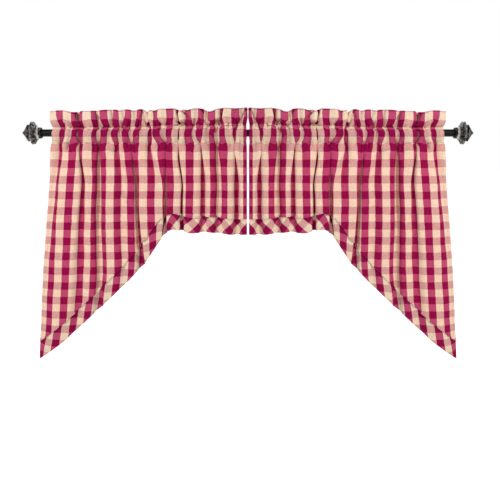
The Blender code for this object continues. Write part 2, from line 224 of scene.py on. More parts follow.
# %% [markdown]
# ## Light
# Folds in cloth are read from their shading: a pale room all round, a small soft box high on the
# outer side that gives the folds their bright and dark sides, a wide weak one that keeps the dark
# sides open, and one from behind for the edges. The photograph's right half is a mirror image of
# its left half, light and all, so there are two mirrored sets of lights. The Standard view keeps
# the dyes' own colours, where a film-like view would wash the reds out.

# %% World and soft boxes
SoftBox = namedtuple("SoftBox", "name place aim size watts")
SOFT_BOXES = [                                      # as they stand for the left half
    SoftBox("key_light", (-1.8, -2.5, 1.7), (0.0, 0.0, -0.2), 0.5, 86.0),
    SoftBox("fill_light", (2.0, -2.6, 0.0), (0.0, 0.0, -0.3), 1.8, 13.0),
    SoftBox("rim_light", (0.6, 2.2, 1.9), (0.0, 0.0, -0.2), 1.8, 28.0),
]
ROOM_COLOUR = (1.0, 1.0, 1.0, 1.0)
ROOM_STRENGTH = 0.39
BACKGROUND_STRENGTH = 1.0

bpy.context.scene.view_settings.view_transform = "Standard"
world = bpy.data.worlds.new("pale_room")
bpy.context.scene.world = world
room = Nodes(world)
lit_room = room.tree.nodes["Background"]
room.feed(lit_room, {"Color": ROOM_COLOUR, "Strength": ROOM_STRENGTH})
seen_room = room.add(
    "Background", "Background", {"Color": ROOM_COLOUR, "Strength": BACKGROUND_STRENGTH}
)
seen_or_lit = room.add("MixShader", "Shader", {
    "Fac": room.add("LightPath", "Is Camera Ray"), 1: lit_room.outputs["Background"], 2: seen_room,
})
room.feed(room.tree.nodes["World Output"], {"Surface": seen_or_lit})

lights = {}
for word, hand in SIDES.items():
    lights[word] = []
    for box in SOFT_BOXES:
        nothing_selected()
        place = Vector((-hand * box.place[0], box.place[1], box.place[2]))
        bpy.ops.object.light_add(type="AREA", location=place)
        light = bpy.context.object
        light.name = box.name + "_" + word
        light.data.shape = "SQUARE"
        light.data.size = box.size
        light.data.energy = box.watts
        light.rotation_euler = (place - Vector(box.aim)).to_track_quat("Z", "Y").to_euler()
        lights[word].append(light)
    print("lights:", ", ".join(light.name for light in lights[word]))

# %% [markdown]
# ## The floor
# The valance hangs about two metres over a plain pale floor. The floor is one wide flat sheet that
# bounces some light up under the folds. To the camera alone it glows, so that no horizon shows.

# %% Floor
FLOOR_HEIGHT = -2.1
FLOOR_SIZE = 60.0
FLOOR_COLOUR = (0.93, 0.93, 0.93, 1.0)
FLOOR_GLOW = 0.81             # keeps the floor as pale as the room, with no horizon line

nothing_selected()
bpy.ops.mesh.primitive_grid_add(
    x_subdivisions=8, y_subdivisions=8, size=FLOOR_SIZE, location=(0.0, 0.0, FLOOR_HEIGHT)
)
floor = bpy.context.object
floor.name = "floor"
bpy.ops.object.transform_apply(location=True, rotation=True, scale=True)
floor_finish = Finish("floor_pale")
seen_glow = floor_finish.math("MULTIPLY", floor_finish.add("LightPath", "Is Camera Ray"), FLOOR_GLOW)
dress(floor, floor_finish.shaded({
    "Base Color": FLOOR_COLOUR,
    "Roughness": 0.9,
    "Emission Color": (1.0, 1.0, 1.0, 1.0),
    "Emission Strength": seen_glow,
}))
print("floor at", FLOOR_HEIGHT)

# %% [markdown]
# ## The cloth's measures
# The cloth is a yarn-dyed check, so its squares are as good as a tape measure: one square is 27 mm,
# and 35 and a half of them cross each panel. Places across the cloth are counted in squares, from
# the outer edge, and heights are in metres over the rod's axis. These are the measures of the
# solids, so the sheet that is hung here lies where they do.

# %% Measures of the panel and band
CHECK = 0.0272                # side of one woven square
CHECKS_ACROSS = 35.5          # squares across one panel, laid flat
FLAT_WIDTH = CHECKS_ACROSS * CHECK
SOLID_CLOTH = 0.0015          # thickness of the panel's solid
BAND_CLOTH = 0.0018           # thickness of the band's solid
SEWN_GAP = 0.0006             # between them

HEADING_TOP = 0.076           # height of the ruffle's top edge, at the outer end
HEADING_RISE = 0.011          # how much higher it stands at the inner end
HEADING_DIP = 0.0010          # how far a fold that hides one square pulls the top edge down
DIP_WIDTH = 0.7               # over this share of the fold's own half-width
HEADING_SEAM = 0.019          # the seam over the rod, at the outer end
SEAM_RISE = 0.007             # how much higher it runs at the inner end
SEAM_RISES = (11.0, 23.0)     # it rises between these squares
SEAM_WANDER = 0.0022          # how far it strays from a straight line
SEAM_STRAYS = ((0.6, 1.9, 0.0), (0.4, 4.7, 1.0))    # share, turns for each square, and phase
POCKET_SEAM = -0.033          # the seam under the rod
POCKET_RADIUS = 0.0147        # of the pocket's inside, where it rounds the rod
POCKET_DRAWN_IN = 0.45        # how far its front is drawn to the middle, for each metre it is pushed out

OUTER_CORNER = -0.828         # height of the long outer corner
HEM_LINE_POINTS = 400         # points of the hem line, from the inner to the outer edge
HEM_LINE_ROUNDING = 5         # of those points, over which its corners are rounded
HEM_ROUNDS = 24               # rounds of finding where the cloth crosses the hem line
HEM_GUESS = -0.4              # and the height that the first round starts from
HEM_ROUNDING = 4              # flat steps over which the hem's bends are rounded
HEM_EASING = 34               # flat steps over which the band's slope is averaged
FULL_WIDTH_TO = -0.372        # the whole width of the cloth hangs down to this height
BAND_WIDTH = 0.057            # finished width of the band
BAND_OVERLAP = 0.012          # of the band's seam allowance, behind the panel

INNER_EDGE = 0.0036           # from the window's middle to a panel's inner edge
OUTER_AT_POCKET = 0.681       # from the middle to the outer edge, at the pocket
OUTER_FLARE = 0.1236          # how far that edge spreads for each metre of drop
OUTER_BOW = 0.005             # how far it bows out halfway down
OUTER_NECK = 0.007            # how far the heading's seam draws it in
NECK_REACH = 0.012            # over about this height, above and below the seam

FLAT_STEPS = 720              # steps used to add up the folds across the cloth
FLAT_CHECKS = np.linspace(0.0, CHECKS_ACROSS, FLAT_STEPS + 1)
EASE_LIMITS = (0.5, 2.0)      # the folds are eased by no less and no more than this
EASE_ROUNDS = 18
PLAN_COUNT = 150              # heights at which the folds are worked out
print("flat width of a panel:", round(FLAT_WIDTH, 4), "m")

# %% [markdown]
# ## The folds
# A gathered panel could be left to a cloth simulation, but then its folds fall where they like. On
# the real one each fold has a place, counted in squares, and that place wanders as it runs down. So
# every fold is one row of a table: where its bottom is, how much cloth it takes and how much width
# it swallows, at five heights. Adding up the cosine of the cloth's turn gives its place across, and
# adding up the sine gives its depth, so no cloth is stretched.

# %% The table of folds
LEVELS = (0.060, 0.0, -0.050, -0.200, -0.530)
DEPTH_SHARES = (0.75, 0.50, 0.85, 0.95, 0.90)     # how deep the folds are at each level

# at, half and hides are in squares, one value for each level. lean turns the valley over.
Fold = namedtuple("Fold", "at half hides lean")
FOLDS = [
    Fold((1.5, 1.5, 1.4, 1.0, 0.5), (1.1, 1.1, 1.1, 1.1, 1.0), (0.00, 0.25, 0.60, 0.15, 0.00), 0.0),
    Fold((4.7, 4.4, 5.0, 5.5, 5.5), (1.2, 1.2, 1.0, 0.9, 1.3), (1.85, 1.45, 1.15, 0.65, 0.30), 0.2),
    Fold((8.1, 8.3, 8.5, 8.4, 8.7), (1.0, 1.2, 1.1, 1.3, 1.3), (0.60, 0.70, 1.10, 1.10, 0.75), 0.1),
    Fold((10.9, 10.5, 10.4, 10.4, 10.4), (0.9, 0.8, 0.8, 0.8, 0.8), (0.42, 0.50, 0.00, 0.00, 0.00), 0.0),
    Fold((12.9, 12.5, 11.9, 12.2, 12.4), (0.9, 0.8, 1.2, 1.2, 1.2), (0.26, 0.40, 0.65, 0.30, 0.20), 0.0),
    Fold((14.9, 14.5, 14.5, 14.9, 15.4), (0.9, 0.9, 0.8, 1.1, 1.5), (0.40, 0.50, 1.10, 1.30, 1.15), 0.0),
    Fold((17.5, 18.1, 17.7, 18.4, 18.4), (1.3, 1.2, 1.0, 1.1, 1.1), (2.00, 1.05, 0.60, 0.00, 0.00), -0.2),
    Fold((19.6, 21.0, 20.5, 20.15, 19.9), (0.8, 1.2, 0.75, 1.1, 1.5), (0.20, 0.35, 1.15, 1.60, 1.55), 0.15),
    Fold((23.3, 23.6, 23.4, 23.8, 23.8), (1.1, 1.0, 1.0, 1.1, 1.2), (1.30, 1.10, 1.25, 1.35, 1.30), 0.15),
    Fold((25.3, 25.0, 25.0, 25.0, 25.0), (0.7, 0.7, 0.7, 0.7, 0.7), (0.20, 0.00, 0.00, 0.00, 0.00), 0.0),
    Fold((27.0, 26.5, 27.5, 27.7, 27.8), (0.9, 0.8, 0.9, 1.1, 1.2), (0.20, 0.45, 0.90, 0.75, 0.70), 0.0),
    Fold((28.6, 28.9, 28.9, 28.9, 28.9), (0.7, 0.9, 0.9, 0.9, 0.9), (0.40, 0.35, 0.00, 0.00, 0.00), 0.0),
    Fold((31.1, 30.6, 30.4, 30.5, 30.6), (1.0, 1.1, 1.1, 1.2, 1.2), (0.70, 0.55, 0.75, 0.70, 0.60), 0.0),
    Fold((34.8, 33.6, 33.5, 33.7, 33.7), (1.0, 0.9, 0.9, 1.2, 1.3), (0.35, 0.50, 0.90, 0.90, 0.85), 0.0),
]
ROLL_HIDES = (0.15, 0.10, 0.20, 0.40, 0.24)       # width that the turned-back outer edge swallows
ROLL_HELD = 0.8                                   # squares over which it stays turned
ROLL_OUT = 2.2                                    # squares over which it eases out
ROLL_OUT_SHARE = 0.4                              # of those squares, as if they were fully turned
ROLL_LIMIT = 0.1                                  # the least cosine of its turn
print("folds in a panel:", len(FOLDS))


# %% How far the cloth turns, across and down
def soft_step(t):
    """t from 0 to 1, eased so that it sets out and arrives level."""
    t = min(1.0, max(0.0, t))
    return t * t * (3.0 - 2.0 * t)


def at_height(z, values):
    """A value that is given at the five levels, eased from each one to the next."""
    for k in range(len(LEVELS) - 1):
        upper, lower = LEVELS[k], LEVELS[k + 1]
        if z >= lower:
            return values[k] + (values[k + 1] - values[k]) * soft_step((upper - z) / (upper - lower))
    return values[-1]


def turn_shape(t, lean):
    """How far the cloth has turned across a fold, t from -1 to 1, where its steepest wall is 1."""
    valley = -np.sin(np.pi * t)
    lap = 0.5 * (1.0 + np.cos(np.pi * t))
    return np.where(np.abs(t) < 1.0, (1.0 - abs(lean)) * valley + lean * lap, 0.0)


TURNS = np.linspace(0.0, 2.2, 56)                 # steepest turns to look a fold up by, in radians
ACROSS_A_FOLD = np.linspace(-1.0, 1.0, 121)


def shares_hidden(lean):
    """The share of its own cloth that a fold swallows at each of the steepest turns in TURNS."""
    shape = turn_shape(ACROSS_A_FOLD, lean)
    return [1.0 - np.cos(turn * shape).mean() for turn in TURNS]


HIDDEN = [shares_hidden(fold.lean) for fold in FOLDS]


def turns_across(z, ease):
    """How far the cloth has turned at each flat step at height z, with every fold eased so much."""
    turn = np.zeros_like(FLAT_CHECKS)
    for fold, hidden in zip(FOLDS, HIDDEN):
        place, half = at_height(z, fold.at), at_height(z, fold.half)
        share = ease * at_height(z, fold.hides) / (2.0 * half)
        steepest = np.interp(share, hidden, TURNS)
        turn += steepest * turn_shape((FLAT_CHECKS - place) / half, fold.lean)
    rolled = ease * at_height(z, ROLL_HIDES) / (ROLL_HELD + ROLL_OUT_SHARE * ROLL_OUT)
    eased_out = [soft_step((checks - ROLL_HELD) / ROLL_OUT) for checks in FLAT_CHECKS]
    return turn - math.acos(max(ROLL_LIMIT, 1.0 - rolled)) * (1.0 - np.array(eased_out))


print("steepest turn at the rod:", round(float(np.abs(turns_across(0.0, 1.0)).max()), 2), "radians")


# %% Laying the turns end to end
def outer_edge(z):
    """How far from the middle the panel's outer edge hangs at height z."""
    if z > POCKET_SEAM:
        near_seam = math.exp(-(((z - HEADING_SEAM) / NECK_REACH) ** 2))
        return OUTER_AT_POCKET - OUTER_NECK * near_seam
    drop = POCKET_SEAM - z
    share = drop / (POCKET_SEAM - OUTER_CORNER)
    return OUTER_AT_POCKET + OUTER_FLARE * drop + OUTER_BOW * math.sin(math.pi * share)


def added_up(values):
    """The running sum along the cloth of a value given at its flat steps."""
    step = FLAT_WIDTH / FLAT_STEPS
    return np.concatenate([[0.0], np.cumsum(0.5 * (values[1:] + values[:-1]))]) * step


def ease_at(z):
    """What the folds are multiplied by at height z, so that the cloth just fills its place."""
    hung_width = outer_edge(z) - INNER_EDGE
    low, high = EASE_LIMITS
    for _ in range(EASE_ROUNDS):
        middle = 0.5 * (low + high)
        if added_up(np.cos(turns_across(z, middle)))[-1] > hung_width:
            low = middle
        else:
            high = middle
    return low


def folded_across(z):
    """The cloth's plan at height z: arrays of x, depth and turn, at the flat steps."""
    turn = turns_across(z, ease_at(max(z, FULL_WIDTH_TO)))
    across = added_up(np.cos(turn)) - outer_edge(z)
    depth = added_up(np.sin(turn))
    depth -= depth[0] + (depth[-1] - depth[0]) * FLAT_CHECKS / CHECKS_ACROSS
    depth -= 0.5 * (depth.max() + depth.min())
    share = at_height(z, DEPTH_SHARES)
    return across, depth * share, np.arctan2(share * np.sin(turn), np.cos(turn))


PLAN_HEIGHTS = np.linspace(OUTER_CORNER - 0.01, HEADING_TOP + HEADING_RISE + 0.005, PLAN_COUNT)
PLANS = np.array([folded_across(z) for z in PLAN_HEIGHTS])
print("plans of the folds:", PLANS.shape)


# %% Looking up a place on the cloth
def between(values, place):
    """Where each place falls in evenly spaced values: the one before it, and how far past it."""
    steps = (place - values[0]) / (values[1] - values[0])
    steps = np.clip(steps, 0.0, len(values) - 1.001)
    before = steps.astype(int)
    return before, steps - before


def hung_at(checks, z):
    """x, depth and turn at places on the cloth, from the plans above and below each one."""
    level, part = between(PLAN_HEIGHTS, z)
    step, past = between(FLAT_CHECKS, checks)
    found = []
    for values in (PLANS[:, 0], PLANS[:, 1], PLANS[:, 2]):
        below = values[level, step] * (1.0 - past) + values[level, step + 1] * past
        above = values[level + 1, step] * (1.0 - past) + values[level + 1, step + 1] * past
        found.append(below * (1.0 - part) + above * part)
    return found


def fold_limits(z):
    """The nearest and the farthest depth of the folds at height z."""
    nearest = np.interp(z, PLAN_HEIGHTS, PLANS[:, 1].min(axis=1))
    farthest = np.interp(z, PLAN_HEIGHTS, PLANS[:, 1].max(axis=1))
    return nearest, farthest


print("fold depth at the rod:", [round(float(d), 4) for d in fold_limits(0.0)])

# %% [markdown]
# ## The lower edge
# The body is cut on a slant from the long outer corner up to a bend, and then nearly level to the
# inner edge, with a slight wave. The finished edge is the band's hem. The panel's own edge lies
# above it by the band's width, measured square to the hem, so it is farther above on the slant.

# %% The hem line
HemPoint = namedtuple("HemPoint", "out height")    # out is how far from the window's middle
HEM = [
    HemPoint(0.7793, OUTER_CORNER),
    HemPoint(0.6760, -0.7530),
    HemPoint(0.5600, -0.6450),
    HemPoint(0.4460, -0.5385),
    HemPoint(0.3710, -0.4610),
    HemPoint(0.3320, -0.4030),
    HemPoint(0.2950, -0.3480),
    HemPoint(0.2720, -0.3360),
    HemPoint(0.2500, -0.3400),
    HemPoint(0.2060, -0.3550),
    HemPoint(0.1520, -0.3480),
    HemPoint(0.1000, -0.3545),
    HemPoint(0.0450, -0.3610),
    HemPoint(INNER_EDGE, -0.3580),
]


def averaged(values, reach):
    """A running average of evenly spaced values, over about this many of them on each side."""
    ends = 3 * reach
    weights = np.exp(-0.5 * (np.arange(-ends, ends + 1) / reach) ** 2)
    before = values[0] + (values[1] - values[0]) * np.arange(-ends, 0)
    after = values[-1] + (values[-1] - values[-2]) * np.arange(1, ends + 1)
    return np.convolve(np.concatenate([before, values, after]), weights / weights.sum(), mode="valid")


HEM_OUTS = np.linspace(INNER_EDGE, HEM[0].out, HEM_LINE_POINTS)
HEM_LINE = averaged(
    np.interp(HEM_OUTS, [point.out for point in HEM[::-1]], [point.height for point in HEM[::-1]]),
    HEM_LINE_ROUNDING,
)
print("points of the hem line:", len(HEM))


# %% Where the cloth crosses the hem line
def hem_heights():
    """The hem's height at every flat step: where the cloth there hangs across the hem line."""
    heights = np.full_like(FLAT_CHECKS, HEM_GUESS)
    for _ in range(HEM_ROUNDS):
        out = -hung_at(FLAT_CHECKS, heights)[0]
        heights = 0.5 * (heights + np.interp(out, HEM_OUTS, HEM_LINE))
    return averaged(heights, HEM_ROUNDING)


HEM_HEIGHTS = hem_heights()
HEM_EASED = averaged(HEM_HEIGHTS, HEM_EASING)
HEM_SLOPES = np.gradient(HEM_EASED, FLAT_WIDTH / FLAT_STEPS)
HEM_LENGTHS = added_up(np.hypot(1.0, HEM_SLOPES))


def band_drop(checks):
    """Upright height of the band."""
    return BAND_WIDTH * np.hypot(1.0, np.interp(checks, FLAT_CHECKS, HEM_SLOPES))


def panel_edge(checks):
    """Height of the panel's own lower edge."""
    return np.interp(checks, FLAT_CHECKS, HEM_HEIGHTS) + band_drop(checks)


print("length of the hem:", round(float(HEM_LENGTHS[-1]), 4), "m")


# %% The heading's seam and its top edge
def heading_seam(checks):
    """Height of the seam over the rod, which rises towards the inner end."""
    share = np.clip((checks - SEAM_RISES[0]) / (SEAM_RISES[1] - SEAM_RISES[0]), 0.0, 1.0)
    wander = sum(part * np.sin(turns * checks + phase) for part, turns, phase in SEAM_STRAYS)
    return HEADING_SEAM + SEAM_RISE * share * share * (3.0 - 2.0 * share) + SEAM_WANDER * wander


# Where the ruffle's top edge sags, how far from the middle, over what half-width, and how much.
Sag = namedtuple("Sag", "out width drop")
SAGS = [
    Sag(0.672, 0.010, 0.0025),
    Sag(0.596, 0.024, 0.0065),
    Sag(0.551, 0.020, 0.0035),
    Sag(0.517, 0.020, 0.0020),
    Sag(0.441, 0.010, 0.0035),
    Sag(0.393, 0.012, 0.0045),
    Sag(0.348, 0.008, 0.0085),
    Sag(0.324, 0.014, 0.0060),
    Sag(0.234, 0.008, 0.0065),
    Sag(0.210, 0.017, 0.0055),
    Sag(0.131, 0.022, 0.0120),
    Sag(0.045, 0.020, 0.0030),
]
SAG_HEIGHT = 0.065            # the height at which those places are looked up
HEADING_OUTS = -hung_at(FLAT_CHECKS, np.full_like(FLAT_CHECKS, SAG_HEIGHT))[0]


def heading_edge(checks):
    """Height of the ruffle's top edge. Each fold pulls it down a little, and it sags in places."""
    pull = sum(
        fold.hides[0] * np.exp(-(((checks - fold.at[0]) / (DIP_WIDTH * fold.half[0])) ** 2))
        for fold in FOLDS
    )
    out = np.interp(checks, FLAT_CHECKS, HEADING_OUTS)
    sagged = sum(sag.drop * np.exp(-(((out - sag.out) / sag.width) ** 2)) for sag in SAGS)
    return HEADING_TOP + HEADING_RISE * checks / CHECKS_ACROSS - HEADING_DIP * pull - sagged


print("the top edge stands", round(float(heading_edge(0.0)), 4), "m over the rod's axis, outside")

# %% [markdown]
# ## Puckers and soft dents
# Where a gathering thread holds the cloth, small puckers run off on both sides of the seam. They
# are too fine for the solids, so they are added here: each one is a ridge or a dent that starts at
# the seam, widens and dies out. They are drawn at random, from fixed seeds, so that every run sews
# the same ones. The sharper creases each have a place of their own, so they are a table, as the
# folds are. Last, long shallow waves take the stiffness out of the cloth.

# %% Puckers along the two seams
PUCKERS_START = 0.35          # squares from the outer edge to the first pucker of each set
PUCKERS_STOP = 0.2            # squares at the inner edge in which none starts
Pucker = namedtuple("Pucker", "at width lift up down slant")


def scattered_puckers(seed, spacing, widths, lifts, ups, downs, slants):
    """Puckers along the seams. Each pair of numbers is the least and the most of a measure."""
    draw = random.Random(seed)
    made = []
    place = PUCKERS_START
    while place < CHECKS_ACROSS - PUCKERS_STOP:
        made.append(Pucker(
            at=place,
            width=draw.uniform(*widths),
            lift=draw.uniform(*lifts),
            up=draw.uniform(*ups),
            down=draw.uniform(*downs),
            slant=draw.uniform(*slants),
        ))
        place += draw.uniform(*spacing)
    return made


PUCKERS = scattered_puckers(
    seed=11, spacing=(0.65, 1.45), widths=(0.20, 0.38), lifts=(0.0030, 0.0075),
    ups=(0.014, 0.050), downs=(0.020, 0.090), slants=(-14.0, 14.0),
)
PUCKERS += scattered_puckers(
    seed=12, spacing=(0.34, 0.74), widths=(0.10, 0.17), lifts=(0.0016, 0.0044),
    ups=(0.008, 0.022), downs=(0.010, 0.030), slants=(-8.0, 8.0),
)
PUCKERS += scattered_puckers(
    seed=23, spacing=(0.70, 1.90), widths=(0.13, 0.23), lifts=(-0.0125, -0.0050),
    ups=(0.008, 0.026), downs=(0.010, 0.040), slants=(-18.0, 18.0),
)
print("puckers:", len(PUCKERS))

# %% How the puckers lift the cloth
IN_POCKET = 0.014             # how far a pucker reaches into the pocket from either seam
DIES_OUT = 1.2                # the power of a pucker's fading
WIDENS = 0.035                # the reach over which a pucker grows twice as wide
SPREADS = 0.9                 # how far a pucker's sides bulge out, for its lift
TAKEN_UP = 0.80               # how far it draws the cloth along, for its lift


def puckered(checks, z):
    """How far the puckers lift the cloth at these places, and how far they spread it sideways."""
    seam = heading_seam(checks)
    above = np.maximum(z - seam, 0.0)
    below = np.maximum(POCKET_SEAM - z, 0.0)
    inside = np.maximum(np.minimum(seam - z, z - POCKET_SEAM), 0.0)
    away = above + below + inside
    lift, aside = np.zeros_like(z), np.zeros_like(z)
    for pucker in PUCKERS:
        outside = (above / pucker.up) ** DIES_OUT + (below / pucker.down) ** DIES_OUT
        fade = np.exp(-outside - inside / IN_POCKET)
        width = pucker.width * (1.0 + away / WIDENS)
        off = (checks - pucker.at - pucker.slant * (below - above)) / width
        raised = pucker.lift * fade * np.exp(-(off ** 2))
        lift += raised
        aside += SPREADS * raised * off
    return lift, aside


print("most lift of a pucker:", round(max(pucker.lift for pucker in PUCKERS), 4), "m")

# %% The creases of the ruffle and pocket
# Each runs from one hung place to another: how far it is from the middle, and its height. step
# lifts the side nearer the middle and drops the other side.
Crease = namedtuple("Crease", "start end width ridge step")
CREASES = [
    Crease((0.5891, 0.0609), (0.5788, 0.0270), 0.0040, -0.0105, 0.0020),
    Crease((0.5925, 0.0356), (0.5805, 0.0153), 0.0032, 0.0060, 0.0000),
    Crease((0.6270, 0.0305), (0.6132, 0.0187), 0.0035, -0.0061, 0.0000),
    Crease((0.5409, 0.0305), (0.5219, 0.0153), 0.0035, 0.0053, -0.0024),
    Crease((0.5175, 0.0560), (0.5002, 0.0200), 0.0036, -0.0100, 0.0020),
    Crease((0.4961, 0.0238), (0.4823, 0.0170), 0.0029, -0.0075, 0.0000),
    Crease((0.4754, 0.0136), (0.4599, -0.0218), 0.0042, -0.0051, 0.0050),
    Crease((0.4362, 0.0220), (0.4258, 0.0450), 0.0036, -0.0100, 0.0024),
    Crease((0.4038, 0.0339), (0.4017, -0.0100), 0.0035, -0.0061, 0.0020),
    Crease((0.3858, -0.0168), (0.3721, 0.0069), 0.0035, 0.0048, 0.0000),
    Crease((0.3679, 0.0609), (0.3803, 0.0204), 0.0035, -0.0086, -0.0034),
    Crease((0.3631, 0.0761), (0.3424, 0.0204), 0.0036, -0.0110, 0.0050),
    Crease((0.3434, 0.0290), (0.3434, 0.0190), 0.0045, -0.0120, 0.0000),
    Crease((0.3256, 0.0322), (0.3032, 0.0238), 0.0035, -0.0086, 0.0000),
    Crease((0.2808, -0.0201), (0.2653, 0.0001), 0.0039, -0.0051, 0.0000),
    Crease((0.2446, 0.0812), (0.2384, 0.0373), 0.0036, -0.0110, 0.0050),
    Crease((0.2394, 0.0356), (0.2256, 0.0271), 0.0039, -0.0130, 0.0000),
    Crease((0.2239, 0.0332), (0.2067, 0.0224), 0.0029, -0.0090, -0.0029),
    Crease((0.2274, 0.0238), (0.2391, -0.0134), 0.0035, -0.0086, 0.0042),
    Crease((0.2225, 0.0727), (0.1946, 0.0423), 0.0034, -0.0100, 0.0020),
    Crease((0.1847, 0.0423), (0.1847, 0.0221), 0.0032, -0.0090, 0.0000),
    Crease((0.1771, 0.0119), (0.1585, -0.0252), 0.0035, -0.0075, 0.0062),
    Crease((0.1598, 0.0795), (0.1481, 0.0400), 0.0036, -0.0110, -0.0040),
    Crease((0.1326, 0.0373), (0.1171, 0.0312), 0.0035, -0.0086, 0.0000),
    Crease((0.1120, 0.0177), (0.1288, -0.0134), 0.0032, 0.0063, -0.0034),
    Crease((0.1223, 0.0204), (0.1326, -0.0016), 0.0026, -0.0067, 0.0000),
    Crease((0.1082, 0.0423), (0.0944, 0.0238), 0.0029, -0.0086, 0.0000),
    Crease((0.0861, 0.0828), (0.0930, 0.0288), 0.0040, -0.0120, 0.0034),
    Crease((0.0758, 0.0288), (0.0551, 0.0423), 0.0035, 0.0060, 0.0000),
    Crease((0.0448, 0.0474), (0.0327, 0.0170), 0.0039, -0.0075, 0.0034),
    Crease((0.0083, 0.0761), (0.0248, 0.0491), 0.0029, -0.0086, 0.0029),
    Crease((0.0258, 0.0373), (0.0121, 0.0187), 0.0035, 0.0056, 0.0000),
]
print("creases over the rod:", len(CREASES))

# %% How the creases lift the cloth
CREASE_ENDS = 0.007           # over which a crease dies out, past its ends
STEP_SLOPE = 1.6              # how steeply a crease steps from one side to the other
SAFE_OVER_ROD = 0.004         # over which a dent fades, towards the rod


def crease_lift(checks, z):
    """How far the creases lift the cloth at these places. They fade at both of their ends."""
    out = -hung_at(checks, z)[0]
    lift = np.zeros_like(z)
    for crease in CREASES:
        run_x = crease.start[0] - crease.end[0]
        run_z = crease.end[1] - crease.start[1]
        length = math.hypot(run_x, run_z)
        from_x = crease.start[0] - out
        from_z = z - crease.start[1]
        along = (from_x * run_x + from_z * run_z) / length
        aside = (from_z * run_x - from_x * run_z) / length / crease.width
        past = np.maximum(np.maximum(-along, along - length), 0.0)
        fade = np.exp(-((past / CREASE_ENDS) ** 2))
        bell = np.exp(-(aside ** 2))
        lift += fade * bell * (crease.ridge + STEP_SLOPE * crease.step * aside)
    return lift


print("a crease dies out over", CREASE_ENDS, "m")

# %% Long shallow waves
Wave = namedtuple("Wave", "across down phase height")


def scattered_waves(seed, count, acrosses, downs, heights):
    """Shallow waves, given as turns for each square across and for each metre down."""
    draw = random.Random(seed)
    return [
        Wave(
            across=draw.uniform(*acrosses),
            down=draw.uniform(*downs),
            phase=draw.uniform(0.0, 2.0 * math.pi),
            height=draw.uniform(*heights),
        )
        for _ in range(count)
    ]


WAVES = scattered_waves(
    seed=5, count=14, acrosses=(-1.5, 1.5), downs=(4.0, 46.0), heights=(0.00018, 0.00042)
)


def soft_dents(checks, z):
    """The sum of the shallow waves."""
    return sum(wave.height * np.sin(wave.across * checks + wave.down * z + wave.phase) for wave in WAVES)


print("waves:", len(WAVES))

# %% [markdown]
# ## One cloth, from the band's seam over the top and down the back
# A maker folds the top of the panel to the back and sews across it twice. The cloth between the top
# fold and the first seam is the ruffle, and between the two seams is the pocket. So the sheet here
# is one grid whose rows run up the body, over the pocket's front, up the ruffle, over the fold, and
# down behind to the second seam. Each stretch of rows says, for a share of its own way, how high it
# is, how far it stands in front of the folds' middle surface, how far the pocket pushes it out, and
# how far along the flat cloth it is.

# %% Measures of the layers
SEAM_FORWARD = 0.0008         # each layer's face stands this far off the middle where they are sewn
SEAM_HALF = 0.0005            # half the height of the gathered tuck that the upper seam holds
BODY_FORWARD = 0.0005         # the face of the single cloth of the body
PUFF = 0.0042                 # how far the ruffle's layers stand apart between the fold and the seam
PUFF_VARIES = 0.40            # unevenly along the way
PUFF_TURNS = 2.6
PUFF_FULLNESS = 0.7           # under 1, so that it is full close to the seam
BODY_PUFF = 0.0022            # how far the body swells just under the pocket's seam
BODY_SWELLS = 0.014           # how far under the seam it swells most
SETTLES = 0.010               # under the seam, over which the body settles to its own face
DENTS_START = 0.030           # and over which the shallow waves set in
FLAT_AT_POCKET_SEAM = 0.1363  # from the top fold to the pocket's seam, along the flat cloth
TAIL = 0.004                  # turned-under cloth that shows below the pocket's seam, behind
SEAM_FOLD = 0.011             # the panel's edge is folded under by this much over the band
SEAM_ROLL = 0.0034            # and rolls this far forward
SEAM_WAVE = 0.45              # puckered a little along the way
SEAM_WAVES = 5.3

Stretch = namedtuple("Stretch", "height forward aside push flat")
print("a stretch gives:", ", ".join(Stretch._fields))


# %% The pocket's way round the rod
def pocket_path():
    """Height, distance off the rod's axis and share of the folds' depth, from the top seam down."""
    path = [(HEADING_SEAM - SEAM_HALF, 0.0, 0.0)]
    for degrees in (58, 50, 40, 30, 20, 10, 0, -10, -20, -30, -38):
        angle = math.radians(degrees)
        path.append((POCKET_RADIUS * math.sin(angle), POCKET_RADIUS * math.cos(angle), 1.0))
    path.append((POCKET_SEAM, 0.0, 0.0))
    path = np.array(path)
    steps = np.hypot(np.diff(path[:, 0]), np.diff(path[:, 1]))
    along = np.concatenate([[0.0], np.cumsum(steps)])
    return path, along / along[-1], float(along[-1])


POCKET_PATH, POCKET_SHARES, POCKET_LENGTH = pocket_path()
print("pocket's front, round the rod:", round(POCKET_LENGTH, 4), "m")


# %% The four stretches of the cloth
def body(checks, share, side):
    """From the pocket's seam, at 0, down to the band's seam, at 1."""
    z = POCKET_SEAM + share * (panel_edge(checks) - POCKET_SEAM)
    below = POCKET_SEAM - z
    swell = BODY_PUFF * (below / BODY_SWELLS) * np.exp(1.0 - below / BODY_SWELLS)
    forward = BODY_FORWARD + (SEAM_FORWARD - BODY_FORWARD) * np.exp(-below / SETTLES) + swell
    lift, aside = puckered(checks, z)
    forward = forward + lift + soft_dents(checks, z) * (1.0 - np.exp(-below / DENTS_START))
    over_band = np.clip((z - panel_edge(checks)) / SEAM_FOLD, 0.0, 1.0)
    rolled = SEAM_ROLL * (1.0 + SEAM_WAVE * np.sin(SEAM_WAVES * checks))
    forward = forward + rolled * (1.0 - over_band) ** 2
    flat = FLAT_AT_POCKET_SEAM + below + TAKEN_UP * lift
    return Stretch(z, forward, aside, np.zeros_like(z), flat)


